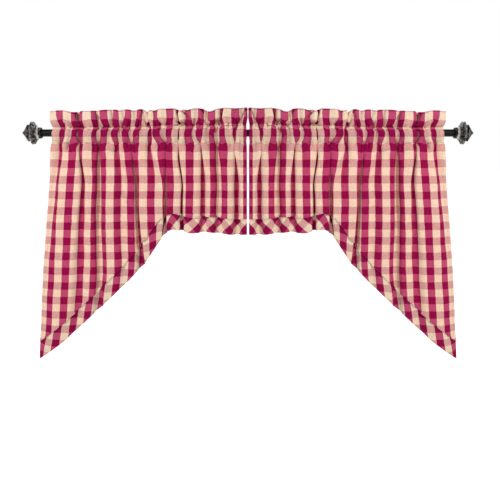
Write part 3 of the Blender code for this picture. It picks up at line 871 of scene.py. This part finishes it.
def pocket(checks, share, side):
    """From the seam over the rod, at 0, to the seam under it, at 1. side is 1 in front, -1 behind."""
    along = np.full_like(checks, share)
    z, gap, depth_share = (np.interp(along, POCKET_SHARES, POCKET_PATH[:, k]) for k in range(3))
    nearest, farthest = fold_limits(z)
    z = z + (heading_seam(checks) - HEADING_SEAM) * np.clip(z / HEADING_SEAM, 0.0, 1.0) ** 2
    push = -gap - farthest * depth_share if side > 0 else gap - nearest * depth_share
    lift, aside = puckered(checks, z)
    lift = lift + crease_lift(checks, z)
    from_seam = np.minimum(heading_seam(checks) - z, z - POCKET_SEAM)
    lift = np.where(side * lift < 0.0, lift * np.exp(-from_seam / SAFE_OVER_ROD), lift)
    if side > 0:
        flat = FLAT_AT_POCKET_SEAM - (1.0 - share) * POCKET_LENGTH + TAKEN_UP * lift
    else:
        flat = heading_seam(checks) - heading_edge(checks) - share * POCKET_LENGTH
    return Stretch(z, side * SEAM_FORWARD + lift, aside, push, flat)


def heading(checks, share, side):
    """From the seam over the rod, at 0, up to the top fold, at 1."""
    top = heading_edge(checks)
    foot = heading_seam(checks) + SEAM_HALF
    z = foot + share * (top - foot)
    puff = PUFF * (1.0 + PUFF_VARIES * np.sin(PUFF_TURNS * checks))
    apart = SEAM_FORWARD + puff * math.sin(math.pi * share ** PUFF_FULLNESS) ** PUFF_FULLNESS
    lift, aside = puckered(checks, z)
    lift = lift + crease_lift(checks, z)
    return Stretch(z, side * apart + lift, aside, np.zeros_like(z), side * (top - z + TAKEN_UP * lift))


def tail(checks, share, side):
    """The turned-under end, below the pocket's seam, behind."""
    z = np.full_like(checks, POCKET_SEAM - share * TAIL)
    flat = heading_seam(checks) - heading_edge(checks) - POCKET_LENGTH - share * TAIL
    lift, aside = puckered(checks, z)
    return Stretch(z, -SEAM_FORWARD + lift, aside, np.zeros_like(z), flat)


print("stretches:", ", ".join(way.__name__ for way in (body, pocket, heading, tail)))

# %% [markdown]
# ## Hanging the flat grid
# The grid is added by Blender as a unit square, with one row for each step of the way. Its
# points are then carried from the table to where they hang. Its UV map keeps the flat place of each
# point in metres, so the woven squares stay square however the cloth is folded.

# %% Rows and columns
PANEL_COLUMNS = 392
ROLLED_ROWS = (0.0, 0.005, 0.012, 0.02, 0.03)       # shares of the body, up from the band's seam
BODY_ROWS_END = 0.96          # share of the body, down from the pocket, where its other rows end
Row = namedtuple("Row", "stretch share side")


def shares(count, power=1.0):
    """count shares from 0 to 1, crowded towards 0 by a power over one."""
    return np.linspace(0.0, 1.0, count) ** power


PANEL_ROWS = [Row(body, 1.0 - share, 1) for share in ROLLED_ROWS]
PANEL_ROWS += [Row(body, share, 1) for share in BODY_ROWS_END * shares(40, power=1.25)[::-1]]
PANEL_ROWS += [Row(pocket, share, 1) for share in shares(28)[-2::-1]]
PANEL_ROWS += [Row(heading, share, 1) for share in shares(30)[:-1]]
PANEL_ROWS += [Row(heading, 1.0, 0)]
PANEL_ROWS += [Row(heading, share, -1) for share in shares(11)[-2::-1]]
PANEL_ROWS += [Row(pocket, share, -1) for share in shares(12)[1:]]
PANEL_ROWS += [Row(tail, share, -1) for share in (0.5, 1.0)]
print("grid of a panel:", PANEL_COLUMNS, "x", len(PANEL_ROWS))


# %% From the table to the rod
def surface_points(hand, checks, stretch):
    """Points of the hanging cloth. hand is -1 for the left panel and 1 for the right one."""
    x, depth, turn = hung_at(checks, stretch.height)
    drawn_in = 1.0 - POCKET_DRAWN_IN * np.maximum(0.0, -stretch.push)
    out = (x + np.sin(turn) * stretch.forward + np.cos(turn) * stretch.aside) * drawn_in
    back = depth - np.cos(turn) * stretch.forward + np.sin(turn) * stretch.aside + stretch.push
    return np.stack([-hand * out, back, stretch.height], axis=-1)


def flat_grid(name, columns, rows):
    """A flat grid, with its corner at the origin, one unit for each row and column."""
    nothing_selected()
    bpy.ops.mesh.primitive_grid_add(
        x_subdivisions=columns - 1, y_subdivisions=rows - 1, size=1.0, location=(0.5, 0.5, 0.0)
    )
    bpy.ops.object.transform_apply(location=True, rotation=True, scale=True)
    grid = bpy.context.object
    grid.name = grid.data.name = name
    return grid


def carry_grid(grid, points, flats, turned):
    """Moves each point of a flat grid to points[row, column], and its UV to flats[row, column]."""
    rows, columns = points.shape[:2]
    mesh = grid.data
    places = np.empty(len(mesh.vertices) * 3)
    mesh.vertices.foreach_get("co", places)
    places = places.reshape(-1, 3)
    column = np.rint(places[:, 0] * (columns - 1)).astype(int)
    row = np.rint(places[:, 1] * (rows - 1)).astype(int)
    mesh.vertices.foreach_set("co", points[row, column].astype(np.float32).ravel())
    corners = np.empty(len(mesh.loops), int)
    mesh.loops.foreach_get("vertex_index", corners)
    laid = flats[row, column][corners]
    mesh.uv_layers[0].name = "flat_cloth"
    mesh.uv_layers[0].data.foreach_set("uv", laid.astype(np.float32).ravel())
    if turned:
        mesh.flip_normals()
    mesh.update()
    return row, column


print("points of a panel's face:", PANEL_COLUMNS * len(PANEL_ROWS))

# %% [markdown]
# ## Thickness and hems
# The grid is only the face of the cloth. Solidify gives it a back, behind the face. Along the two
# side edges the maker turned the cloth in twice, so it is three layers thick there. A vertex group
# says how much of the full thickness each point has.

# %% Solidify with a hem
CLOTH = 0.0007                # one layer of the woven cotton
HEM_LAYERS = 3
SIDE_HEM = 0.013              # finished width of the side hems
HEM_STARTS = 0.035            # they swell in below the pocket, over this height
HEM_STEP = 0.002              # the height of a fold's edge eases in over this width


def hem_weights(flat_u, below, above_edge):
    """1 on the body's side hems and its folded lower edge, one layer's share elsewhere."""
    from_edge = np.minimum(flat_u, FLAT_WIDTH - flat_u)
    on_side = np.clip((SIDE_HEM - from_edge) / HEM_STEP, 0.0, 1.0)
    on_fold = np.clip((SEAM_FOLD - above_edge) / HEM_STEP, 0.0, 1.0)
    on_hem = np.maximum(on_side, on_fold)
    started = np.clip(below / HEM_STARTS, 0.0, 1.0)
    single = 1.0 / HEM_LAYERS
    return single + (1.0 - single) * on_hem * started


def thicken(cloth, weights, thickness):
    """Gives cloth its thickness, behind its face, and applies it."""
    if weights is not None:
        group = cloth.vertex_groups.new(name="layers")
        for index, weight in enumerate(weights):
            group.add([index], float(weight), "REPLACE")
    solidify = cloth.modifiers.new("thickness", "SOLIDIFY")
    solidify.thickness = thickness
    solidify.offset = -1.0
    solidify.use_quality_normals = True
    if weights is not None:
        solidify.vertex_group = "layers"
    apply_modifiers(cloth)
    smooth(cloth, 50.0)
    return cloth


print("side hems:", SIDE_HEM, "m wide,", HEM_LAYERS, "layers")


# %% Make the two panels
def make_panel(name, hand):
    """One panel, hung and thickened. Returns it with the flat area and length of its cut."""
    checks = np.linspace(0.0, CHECKS_ACROSS, PANEL_COLUMNS)
    points, flats, belows = [], [], []
    for row in PANEL_ROWS:
        stretch = row.stretch(checks, row.share, row.side)
        stretch = Stretch(*(np.broadcast_to(value, checks.shape) for value in stretch))
        points.append(surface_points(hand, checks, stretch))
        flats.append(np.stack([checks * CHECK, stretch.flat], axis=-1))
        belows.append(np.where(row.side > 0, np.maximum(POCKET_SEAM - stretch.height, 0.0), 0.0))
    points, flats, belows = np.array(points), np.array(flats), np.array(belows)
    panel = flat_grid(name, PANEL_COLUMNS, len(PANEL_ROWS))
    row, column = carry_grid(panel, points, flats, turned=hand > 0)
    above_edge = points[..., 2] - panel_edge(checks)
    weights = hem_weights(flats[..., 0], belows, above_edge)[row, column]
    thicken(panel, weights, CLOTH * HEM_LAYERS)
    lengths = flats[0, :, 1] - flats[-1, :, 1]
    area = float((0.5 * (lengths[1:] + lengths[:-1])).sum() * FLAT_WIDTH / (PANEL_COLUMNS - 1))
    print(name, "faces:", len(panel.data.polygons), "cut length:", round(float(lengths.max()), 3))
    return panel, area, float(lengths.max())


panels = {}
for word, hand in SIDES.items():
    panels[word] = make_panel("valance_panel_" + word, hand)

# %% [markdown]
# ## The bias band
# The band is a strip cut at 45 degrees to the threads, folded in half along the hem, with both raw
# edges sewn behind the panel's edge. So it is a second grid, whose rows run down its face, round
# the fold and up its back. Its UV map turns the strip's own length and width by 45 degrees, which
# sets the squares on their corners where the hem is level, and nearly upright on the slant.

# %% Make the two bands
BAND_COLUMNS = 262
BAND_FACE = -(0.5 * SOLID_CLOTH + SEWN_GAP)       # the band's face, behind the panel's middle
BAND_BACK = BAND_FACE - BAND_CLOTH
BAND_LAYER = 0.0006
BAND_FOLD_DROP = 0.0006       # how far the fold along the hem hangs below the two layers
BAND_SHIFT = (CHECK, 0.0)                           # where the strip's pattern starts
FACE_SHARES = np.concatenate([[-1.0, -0.5], shares(15)])

BandRow = namedtuple("BandRow", "share forward drop")
BAND_ROWS = [BandRow(share, BAND_FACE, 0.0) for share in FACE_SHARES]
BAND_ROWS += [BandRow(1.0, 0.5 * (BAND_FACE + BAND_BACK), BAND_FOLD_DROP)]
BAND_ROWS += [BandRow(share, BAND_BACK, 0.0) for share in FACE_SHARES[::-1]]


def band_height(checks, share):
    """From behind the panel's edge, at -1, over that edge, at 0, down to the hem, at 1."""
    if share < 0.0:
        return panel_edge(checks) - share * BAND_OVERLAP
    return panel_edge(checks) - share * band_drop(checks)


def make_band(name, hand):
    """One band, hung and thickened."""
    checks = np.linspace(0.0, CHECKS_ACROSS, BAND_COLUMNS)
    along = np.interp(checks, FLAT_CHECKS, HEM_LENGTHS)
    slopes = np.interp(checks, FLAT_CHECKS, HEM_SLOPES)
    points, flats = [], []
    for number, row in enumerate(BAND_ROWS):
        z = band_height(checks, row.share) - row.drop
        width = BAND_WIDTH if row.share > 0.0 else BAND_OVERLAP
        across = row.share * width
        here = along - row.share * width * slopes
        if number > len(FACE_SHARES):
            across = 2.0 * BAND_WIDTH - across
        forward = row.forward + soft_dents(checks, z)
        stretch = Stretch(z, forward, np.zeros_like(z), np.zeros_like(z), across)
        points.append(surface_points(hand, checks, stretch))
        warp = (here + across) / math.sqrt(2.0) + BAND_SHIFT[0]
        weft = (across - here) / math.sqrt(2.0) + BAND_SHIFT[1]
        flats.append(np.stack([warp, weft], axis=-1))
    band = flat_grid(name, BAND_COLUMNS, len(BAND_ROWS))
    carry_grid(band, np.array(points), np.array(flats), turned=hand < 0)
    thicken(band, None, BAND_LAYER)
    print(name, "faces:", len(band.data.polygons))
    return band


bands = {}
for word, hand in SIDES.items():
    bands[word] = make_band("bias_band_" + word, hand)

# %% [markdown]
# ## The stitches
# Every seam is sewn through with a strong thread, as dark as the dark squares, and it shows on both
# faces. One stitch is modelled: a six-sided thread that rises out of the cloth and dives back into
# it. An Array modifier repeats it in a straight row, and each row is then laid along its own seam:
# along the row is along the seam, and up from the table is away from the cloth.
#
# A stitch, the rod and the knobs are all bars along X whose sides change from ring to ring, so one
# function makes them.


# %% A bar of rings
Ring = namedtuple("Ring", "x radius z")


def bar_of_rings(name, sides, rings):
    """A closed bar: its end face is extruded from each ring to the next, and scaled there."""
    nothing_selected()
    first = rings[0]
    bpy.ops.mesh.primitive_circle_add(
        vertices=sides, radius=first.radius, fill_type="NGON",
        location=(first.x, 0.0, first.z), rotation=(0.0, math.pi / 2.0, 0.0),
    )
    bar = bpy.context.object
    bar.name = bar.data.name = name
    bpy.ops.object.transform_apply(location=True, rotation=True, scale=True)
    bpy.ops.object.mode_set(mode="EDIT")
    bpy.ops.mesh.select_all(action="SELECT")
    for before, after in zip(rings, rings[1:]):
        moved = (after.x - before.x, 0.0, after.z - before.z)
        bpy.ops.mesh.extrude_region_move(TRANSFORM_OT_translate={"value": moved})
        ratio = after.radius / before.radius
        bpy.ops.transform.resize(value=(1.0, ratio, ratio), center_override=(after.x, 0.0, after.z))
    bpy.ops.mesh.select_all(action="SELECT")
    bpy.ops.mesh.normals_make_consistent(inside=False)
    bpy.ops.object.mode_set(mode="OBJECT")
    return bar


print("a ring has:", ", ".join(Ring._fields))

# %% One row of stitches
THREAD_RADIUS = 0.00027
STITCH_LENGTH = 0.0027
STITCH_PITCH = 0.0034         # from one stitch to the next
STITCH_OVER_BAND = 0.0030     # the lowest row lies this far above the panel's own edge
STITCH_FROM_EDGE = 0.0115     # the rows of the side hems lie this far in
HEM_STITCH_STEPS = 90
HEM_STITCH_ENDS = (0.03, 0.97)                      # shares of the body's height that they run
OFF_THE_CLOTH = 0.001         # a place this far off shows which way a seam faces

STITCH_RINGS = [
    Ring(0.0, 0.5 * THREAD_RADIUS, -THREAD_RADIUS),
    Ring(0.2 * STITCH_LENGTH, THREAD_RADIUS, 0.4 * THREAD_RADIUS),
    Ring(0.8 * STITCH_LENGTH, THREAD_RADIUS, 0.4 * THREAD_RADIUS),
    Ring(STITCH_LENGTH, 0.5 * THREAD_RADIUS, -THREAD_RADIUS),
]


def straight_stitches(count):
    """A row of count stitches along X."""
    stitches = bar_of_rings("stitches", 6, STITCH_RINGS)
    repeat = stitches.modifiers.new("repeat", "ARRAY")
    repeat.count = count
    repeat.use_relative_offset = False
    repeat.use_constant_offset = True
    repeat.constant_offset_displace = (STITCH_PITCH, 0.0, 0.0)
    return apply_modifiers(stitches)


def unit(vectors):
    """Each vector, brought to a length of one."""
    return vectors / np.linalg.norm(vectors, axis=1, keepdims=True)


def sewn_row(path, away):
    """A row of stitches laid along path, with each stitch standing off in the direction away."""
    steps = np.linalg.norm(np.diff(path, axis=0), axis=1)
    along = np.concatenate([[0.0], np.cumsum(steps)])
    stitches = straight_stitches(int(along[-1] / STITCH_PITCH) - 1)
    places = np.empty(len(stitches.data.vertices) * 3)
    stitches.data.vertices.foreach_get("co", places)
    places = places.reshape(-1, 3)
    ahead = np.gradient(path, along, axis=0)
    way = places[:, 0] + STITCH_PITCH
    spot, ahead, away = (
        np.stack([np.interp(way, along, values[:, k]) for k in range(3)], axis=-1)
        for values in (path, ahead, away)
    )
    ahead = unit(ahead)
    away = unit(away - ahead * (away * ahead).sum(axis=1, keepdims=True))
    beside = np.cross(away, ahead)
    laid = spot + places[:, 1:2] * beside + places[:, 2:3] * away
    stitches.data.vertices.foreach_set("co", laid.astype(np.float32).ravel())
    stitches.data.update()
    return stitches


print("stitches in a metre:", round(1.0 / STITCH_PITCH))


# %% Sew the seams of the two panels
def seams():
    """Each seam as places across the cloth, the stretch that it lies on, and the side it faces."""
    across = np.linspace(0.0, CHECKS_ACROSS, PANEL_COLUMNS)
    at_seam = heading_seam(across)
    for side in (1, -1):
        yield across, heading(across, 0.0, side)._replace(height=at_seam), side
    yield across, body(across, 0.0, 1), 1
    yield across, tail(across, 0.0, -1), -1
    over_band = 1.0 - STITCH_OVER_BAND / (POCKET_SEAM - panel_edge(across))
    yield across, body(across, over_band, 1), 1
    for edge in (STITCH_FROM_EDGE / CHECK, CHECKS_ACROSS - STITCH_FROM_EDGE / CHECK):
        checks = np.full(HEM_STITCH_STEPS, edge)
        yield checks, body(checks, np.linspace(*HEM_STITCH_ENDS, HEM_STITCH_STEPS), 1), 1


def sew_panel(name, hand):
    """All the stitches of one panel, in one piece."""
    rows = []
    for checks, stretch, side in seams():
        path = surface_points(hand, checks, stretch)
        lifted = stretch._replace(forward=stretch.forward + OFF_THE_CLOTH * side)
        rows.append(sewn_row(path, surface_points(hand, checks, lifted) - path))
    nothing_selected()
    for row in rows:
        row.select_set(True)
    bpy.context.view_layer.objects.active = rows[0]
    bpy.ops.object.join()
    sewn = bpy.context.object
    sewn.name = sewn.data.name = name
    smooth(sewn, 60.0)
    print(name, "faces:", len(sewn.data.polygons))
    return sewn


stitching = {}
for word, hand in SIDES.items():
    stitching[word] = sew_panel("stitching_" + word, hand)

# %% [markdown]
# ## The woven check
# The cloth is woven from two dyed yarns, a deep raspberry and a cream. Squares where both threads
# are dark are solid raspberry, squares where both are pale are cream, and where they cross the
# square is a mix of the two. On the real cloth the threads that run down show more than those that
# cross them, so the two kinds of mixed square differ, and all four colours are given.
#
# A sine of the flat place in metres is above zero on every other square, so it makes stripes with
# no image. The same trick at thread size makes the weave, and noise drawn out along the threads
# gives them their uneven thickness.

# %% The cloth's material
RASPBERRY = (0.250, 0.0020, 0.053, 1.0)
RASPBERRY_OVER_CREAM = (0.436, 0.056, 0.134, 1.0)   # dark threads down, pale ones across
CREAM_OVER_RASPBERRY = (0.660, 0.336, 0.300, 1.0)   # pale threads down, dark ones across
CREAM = (0.820, 0.590, 0.440, 1.0)
THREAD = 0.0007               # from one thread to the next
THREADS_WANDER = 0.0036       # how far they stray, so that the squares' edges are never ruled
DARK_ROW_TOP = 0.0325         # where a dark row starts, down from the top fold
EDGE_SHARPNESS = 16.0         # how quickly one square gives way to the next
THREAD_SHARPNESS = 0.5
SLUBS = 0.30                  # how much each of these changes the tone
MOTTLING = 0.90
CLOUDS = 0.12
PLAIN_CONTRAST = 0.14         # between the threads of a plain square
MIXED_CONTRAST = 0.55         # and of a mixed one


def woven_check(name):
    """The check as a material that reads the flat_cloth UV map, in metres."""
    cloth = Finish(name)
    place = cloth.add("UVMap", "UV", uv_map="flat_cloth")
    wander = cloth.noise(place, 60.0, output="Color")
    centred = cloth.vector("SUBTRACT", wander, (0.5, 0.5, 0.5))
    moved = cloth.vector("MULTIPLY_ADD", centred, (THREADS_WANDER, THREADS_WANDER, 0.0), place)
    across, down, _ = cloth.split(moved)

    def stripes(value, start, pitch, sharpness):
        """From 0 to 1, above a half on every other stripe of this pitch."""
        turned = cloth.math("MULTIPLY_ADD", value, math.pi / pitch, -start * math.pi / pitch)
        return cloth.math("MULTIPLY_ADD", cloth.math("SINE", turned), sharpness, 0.5, clamp=True)

    dark_down = stripes(across, CHECK, CHECK, EDGE_SHARPNESS)
    dark_across = stripes(down, DARK_ROW_TOP, CHECK, EDGE_SHARPNESS)
    pale_column = cloth.mix(dark_across, CREAM, CREAM_OVER_RASPBERRY)
    dark_column = cloth.mix(dark_across, RASPBERRY_OVER_CREAM, RASPBERRY)
    check = cloth.mix(dark_down, pale_column, dark_column)

    # Slubs are thicker stretches of single threads, along and across. Mottling is uneven dye.
    slub_down = cloth.noise(cloth.vector("MULTIPLY", place, (1.0, 0.04, 1.0)), 620.0)
    slub_across = cloth.noise(cloth.vector("MULTIPLY", place, (0.04, 1.0, 1.0)), 620.0)
    slubs = cloth.math("ADD", slub_down, slub_across)
    mottled = cloth.noise(place, 290.0, detail=3.0, roughness=0.7)
    cloudy = cloth.noise(place, 14.0, detail=4.0, roughness=0.6)
    tone = 1.0 - SLUBS - 0.5 * (MOTTLING + CLOUDS)
    for varied, amount in ((slubs, SLUBS), (mottled, MOTTLING), (cloudy, CLOUDS)):
        tone = cloth.math("MULTIPLY_ADD", varied, amount, tone)

    # The weave: a thread that runs down is on top at every other crossing. Where the two threads
    # differ in colour, the square is darker or paler by which of them is on top.
    weave_down = stripes(across, 0.0, THREAD, THREAD_SHARPNESS)
    weave_across = stripes(down, 0.0, THREAD, THREAD_SHARPNESS)
    on_top = cloth.math("ABSOLUTE", cloth.math("SUBTRACT", weave_down, weave_across))
    down_is_paler = cloth.math("SUBTRACT", dark_across, dark_down)
    contrast = cloth.math("MULTIPLY_ADD", down_is_paler, MIXED_CONTRAST, PLAIN_CONTRAST)
    shaded = cloth.math("MULTIPLY_ADD", cloth.math("SUBTRACT", on_top, 0.5), contrast, 1.0)

    relief = cloth.math("MULTIPLY_ADD", slubs, 0.8, on_top)
    weave_relief = cloth.bump(relief, 0.35, 0.00025)
    crinkle = cloth.noise(place, 95.0, detail=3.0)
    return cloth.shaded({
        "Base Color": cloth.brightened(cloth.brightened(check, tone), shaded),
        "Normal": cloth.bump(crinkle, 0.35, 0.002, normal=weave_relief),
        "Subsurface Weight": 0.20,
        "Subsurface Scale": 0.004,
        "Roughness": 0.88,
        "Specular IOR Level": 0.06,
        "Sheen Weight": 0.015,
        "Sheen Roughness": 0.5,
    })


panel_finish = woven_check("cotton_check")
band_finish = woven_check("cotton_check_on_the_bias")
for word in SIDES:
    dress(panels[word][0], panel_finish)
    dress(bands[word], band_finish)
print("cloth finishes:", panel_finish.name, "and", band_finish.name)

# %% The sewing thread's material
THREAD_DARK = (0.055, 0.002, 0.014, 1.0)
THREAD_PALE = (0.190, 0.010, 0.055, 1.0)


def sewing_thread(name):
    """A dyed, two-ply cotton thread: a dark raspberry, with its twist as a fine uneven grain."""
    thread = Finish(name)
    place = thread.add("TexCoord", "Object")
    twist = thread.noise(place, 2600.0)
    worn = thread.noise(place, 70.0, detail=3.0)
    share = thread.math("MULTIPLY_ADD", twist, 0.7, -0.1)
    share = thread.math("MULTIPLY_ADD", worn, 0.4, share, clamp=True)
    return thread.shaded({
        "Base Color": thread.mix(share, THREAD_DARK, THREAD_PALE),
        "Normal": thread.bump(twist, 0.5, 0.0001),
        "Roughness": 0.7,
        "Specular IOR Level": 0.2,
    })


thread_finish = sewing_thread("raspberry_thread")
for word in SIDES:
    dress(stitching[word], thread_finish)
print("thread finish:", thread_finish.name)

# %% [markdown]
# ## The rod
# A curtain rod is a plain tube, lacquered nearly black, and only a short stretch of it shows at
# each end. It is a bar of two rings, rounder than the solid, and its two ends are bevelled inside
# the knobs' sockets.

# %% Make the rod
ROD_RADIUS = 0.0127
ROD_END = 0.735
ROD_SIDES = 72

rod = bar_of_rings("curtain_rod", ROD_SIDES, [Ring(x, ROD_RADIUS, 0.0) for x in (-ROD_END, ROD_END)])
chamfer = rod.modifiers.new("chamfer", "BEVEL")
chamfer.width = 0.001
chamfer.segments = 2
apply_modifiers(rod)
smooth(rod, 40.0)
print("rod faces:", len(rod.data.polygons))

# %% [markdown]
# ## The knobs
# Each knob is cast with eight sides: a collar, a waist, a flare out to a wide square-edged rim, a
# smaller rim over it, and a pointed cap. It is a bar of eight-sided rings, each with its own width.
# Bevelled edges catch the light, as worn castings do. The collar has a socket, so the rod goes into
# it as on the real one.

# %% Make the knobs
FINIAL_FACE = 0.715           # from the window's middle to the collar's face
FINIAL_SIDES = 8
SOCKET_HALF_WIDTH = 0.0131
SOCKET_DEPTH = 0.0203

# How far out from the collar's face each ring is, and half its width across the flats.
FINIAL_RINGS = [
    (0.0000, 0.0170), (0.0015, 0.0185), (0.0080, 0.0190), (0.0095, 0.0178), (0.0120, 0.0180),
    (0.0135, 0.0205), (0.0170, 0.0232), (0.0205, 0.0268), (0.0245, 0.0325), (0.0290, 0.0385),
    (0.0312, 0.0385), (0.0355, 0.0325), (0.0375, 0.0262), (0.0420, 0.0250), (0.0430, 0.0282),
    (0.0460, 0.0282), (0.0480, 0.0250), (0.0590, 0.0095), (0.0676, 0.0009),
]


def make_knob(name, hand):
    """One knob, from the rod's end outwards, with flat sides facing up, down and forwards."""
    corner = 1.0 / math.cos(math.pi / FINIAL_SIDES)
    rings = [Ring(hand * (FINIAL_FACE + out), half * corner, 0.0) for out, half in FINIAL_RINGS]
    knob = bar_of_rings(name, FINIAL_SIDES, rings)
    knob.data.transform(Matrix.Rotation(math.pi / FINIAL_SIDES, 4, "X"))
    return knob


def cut_socket(knob, hand):
    """Insets the collar's face and pushes it in, as deep as the rod goes."""
    only(knob)
    inner_face = min(knob.data.polygons, key=lambda polygon: abs(polygon.center.x)).index
    bpy.ops.object.mode_set(mode="EDIT")
    bpy.ops.mesh.select_mode(type="FACE")
    bpy.ops.mesh.select_all(action="DESELECT")
    bpy.ops.object.mode_set(mode="OBJECT")
    knob.data.polygons[inner_face].select = True
    bpy.ops.object.mode_set(mode="EDIT")
    bpy.ops.mesh.inset(thickness=FINIAL_RINGS[0][1] - SOCKET_HALF_WIDTH)
    bpy.ops.mesh.extrude_region_move(
        TRANSFORM_OT_translate={"value": (hand * SOCKET_DEPTH, 0.0, 0.0)}
    )
    bpy.ops.mesh.select_all(action="SELECT")
    bpy.ops.mesh.remove_doubles(threshold=0.00001)
    bpy.ops.mesh.normals_make_consistent(inside=False)
    bpy.ops.object.mode_set(mode="OBJECT")


def bevel_edges(knob):
    """Rounds every edge a little, as a casting's are."""
    rounded = knob.modifiers.new("rounded", "BEVEL")
    rounded.width = 0.0006
    rounded.segments = 3
    rounded.limit_method = "ANGLE"
    rounded.angle_limit = math.radians(12.0)
    apply_modifiers(knob)
    smooth(knob, 28.0)


knobs = {}
for word, hand in SIDES.items():
    knobs[word] = make_knob("rod_knob_" + word, hand)
    cut_socket(knobs[word], hand)
    bevel_edges(knobs[word])
    print(knobs[word].name, "faces:", len(knobs[word].data.polygons))

# %% [markdown]
# ## Metal finishes
# The rod is lacquered steel: nearly black, satin, with a faint brushed grain and a few rubbed
# places. The knobs are a cast metal that was blackened and then rubbed back, so that silver shows
# on the parts that stand out and dark stays in the hollows. A ring at the waist is painted bright
# silver: a painted highlight, in place of the key light's reflection.

# %% The rod's lacquer
LACQUER = (0.011, 0.010, 0.010, 1.0)
RUBBED_LACQUER = (0.035, 0.031, 0.028, 1.0)


def lacquered_steel(name):
    """Nearly black lacquer with a brushed grain and a few rubbed places."""
    steel = Finish(name)
    place = steel.add("TexCoord", "Object")
    grain = steel.noise(steel.vector("MULTIPLY", place, (3.0, 60.0, 60.0)), 26.0, detail=4.0)
    rubbed = steel.noise(place, 38.0, detail=5.0, roughness=0.65)
    worn = steel.math("MULTIPLY_ADD", rubbed, 5.0, -3.1, clamp=True)
    return steel.shaded({
        "Base Color": steel.mix(worn, LACQUER, RUBBED_LACQUER),
        "Roughness": steel.math("MULTIPLY_ADD", grain, 0.16, 0.20),
        "Normal": steel.bump(grain, 0.12, 0.0002),
        "Metallic": 0.85,
    })


dress(rod, lacquered_steel("rod_lacquer"))
print("the rod's finish:", rod.data.materials[0].name)

# %% The knobs' rubbed casting and painted highlight
BLACKENED = (0.016, 0.016, 0.014, 1.0)
RUBBED_SILVER = (0.46, 0.46, 0.43, 1.0)
# The bright ring is a painted highlight: near-white silver in place of the key light's reflection.
PAINTED_HIGHLIGHT_SILVER = (0.86, 0.86, 0.80, 1.0)
PAINTED_HIGHLIGHT_OUT = 0.7268      # from the window's middle to the bright ring
PAINTED_HIGHLIGHT_HALF_WIDTH = 0.0046


def rubbed_casting_and_painted_highlight(name):
    """A blackened casting, rubbed back to silver where it stands out, with a painted highlight ring."""
    metal = Finish(name)
    place = metal.add("TexCoord", "Object")
    grain = metal.noise(place, 620.0, detail=4.0, roughness=0.6)
    patches = metal.noise(place, 120.0, detail=4.0, roughness=0.6)
    x, y, z = metal.split(place)
    squared = metal.math("ADD", metal.math("MULTIPLY", y, y), metal.math("MULTIPLY", z, z))
    stands_out = metal.math("MULTIPLY_ADD", metal.math("SQRT", squared), 14.0, -0.18)
    rub = metal.math("MULTIPLY_ADD", patches, 3.2, -1.63)
    silver = metal.math("ADD", stands_out, rub, clamp=True)
    # Painted highlight: a ring at the waist is mixed to bright silver, standing in for a reflection.
    past_painted_highlight = metal.math("SUBTRACT", metal.math("ABSOLUTE", x), PAINTED_HIGHLIGHT_OUT)
    past_painted_highlight = metal.math("ABSOLUTE", past_painted_highlight)
    painted_highlight = metal.math("MULTIPLY_ADD", past_painted_highlight, -1.0 / PAINTED_HIGHLIGHT_HALF_WIDTH, 1.0, clamp=True)
    rubbed = metal.mix(silver, BLACKENED, RUBBED_SILVER)
    return metal.shaded({
        "Base Color": metal.mix(painted_highlight, rubbed, PAINTED_HIGHLIGHT_SILVER),
        "Roughness": metal.math("MULTIPLY_ADD", patches, 0.30, 0.14),
        "Normal": metal.bump(grain, 0.25, 0.0003),
        "Metallic": 0.9,
    })


casting = rubbed_casting_and_painted_highlight("knob_casting_and_painted_highlight")
for knob in knobs.values():
    dress(knob, casting)
print("the knobs' finish:", casting.name)

# %% [markdown]
# ## Tying the pieces to the model
# Nothing moves here, so every piece rides on the one body. Each one, apart from the stitches,
# stands for its own solid, and that solid is hidden. The flat area of each panel's cut is printed.

# %% Ride and replace
PIECES = [(rod, "rod", "rod")]
for word in SIDES:
    PIECES.append((panels[word][0], "panel_" + word, "cloth"))
    PIECES.append((bands[word], "band_" + word, "band"))
    PIECES.append((knobs[word], "finial_" + word, "finial"))
for piece, node, slot in PIECES:
    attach(piece, "root")
    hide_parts(node)

for word in SIDES:
    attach(stitching[word], "root")
    panel, area, cut_length = panels[word]
    print(panel.name, "flat area:", round(area, 4), "m2")

# %% [markdown]
# ## Each half in its own light
# Each set of lights reaches only its own panel, band, stitches and knob, and what both halves
# share: the rod, and the floor that throws light back up. So the folds of both halves have their
# bright side on the outer side.

# %% Link each set of lights to its half
for word in SIDES:
    lit = bpy.data.collections.new("lit_" + word)
    for piece in (panels[word][0], bands[word], stitching[word], knobs[word], rod, floor):
        lit.objects.link(piece)
    for light in lights[word]:
        light.light_linking.receiver_collection = lit
    print(lit.name, "pieces:", len(lit.objects))
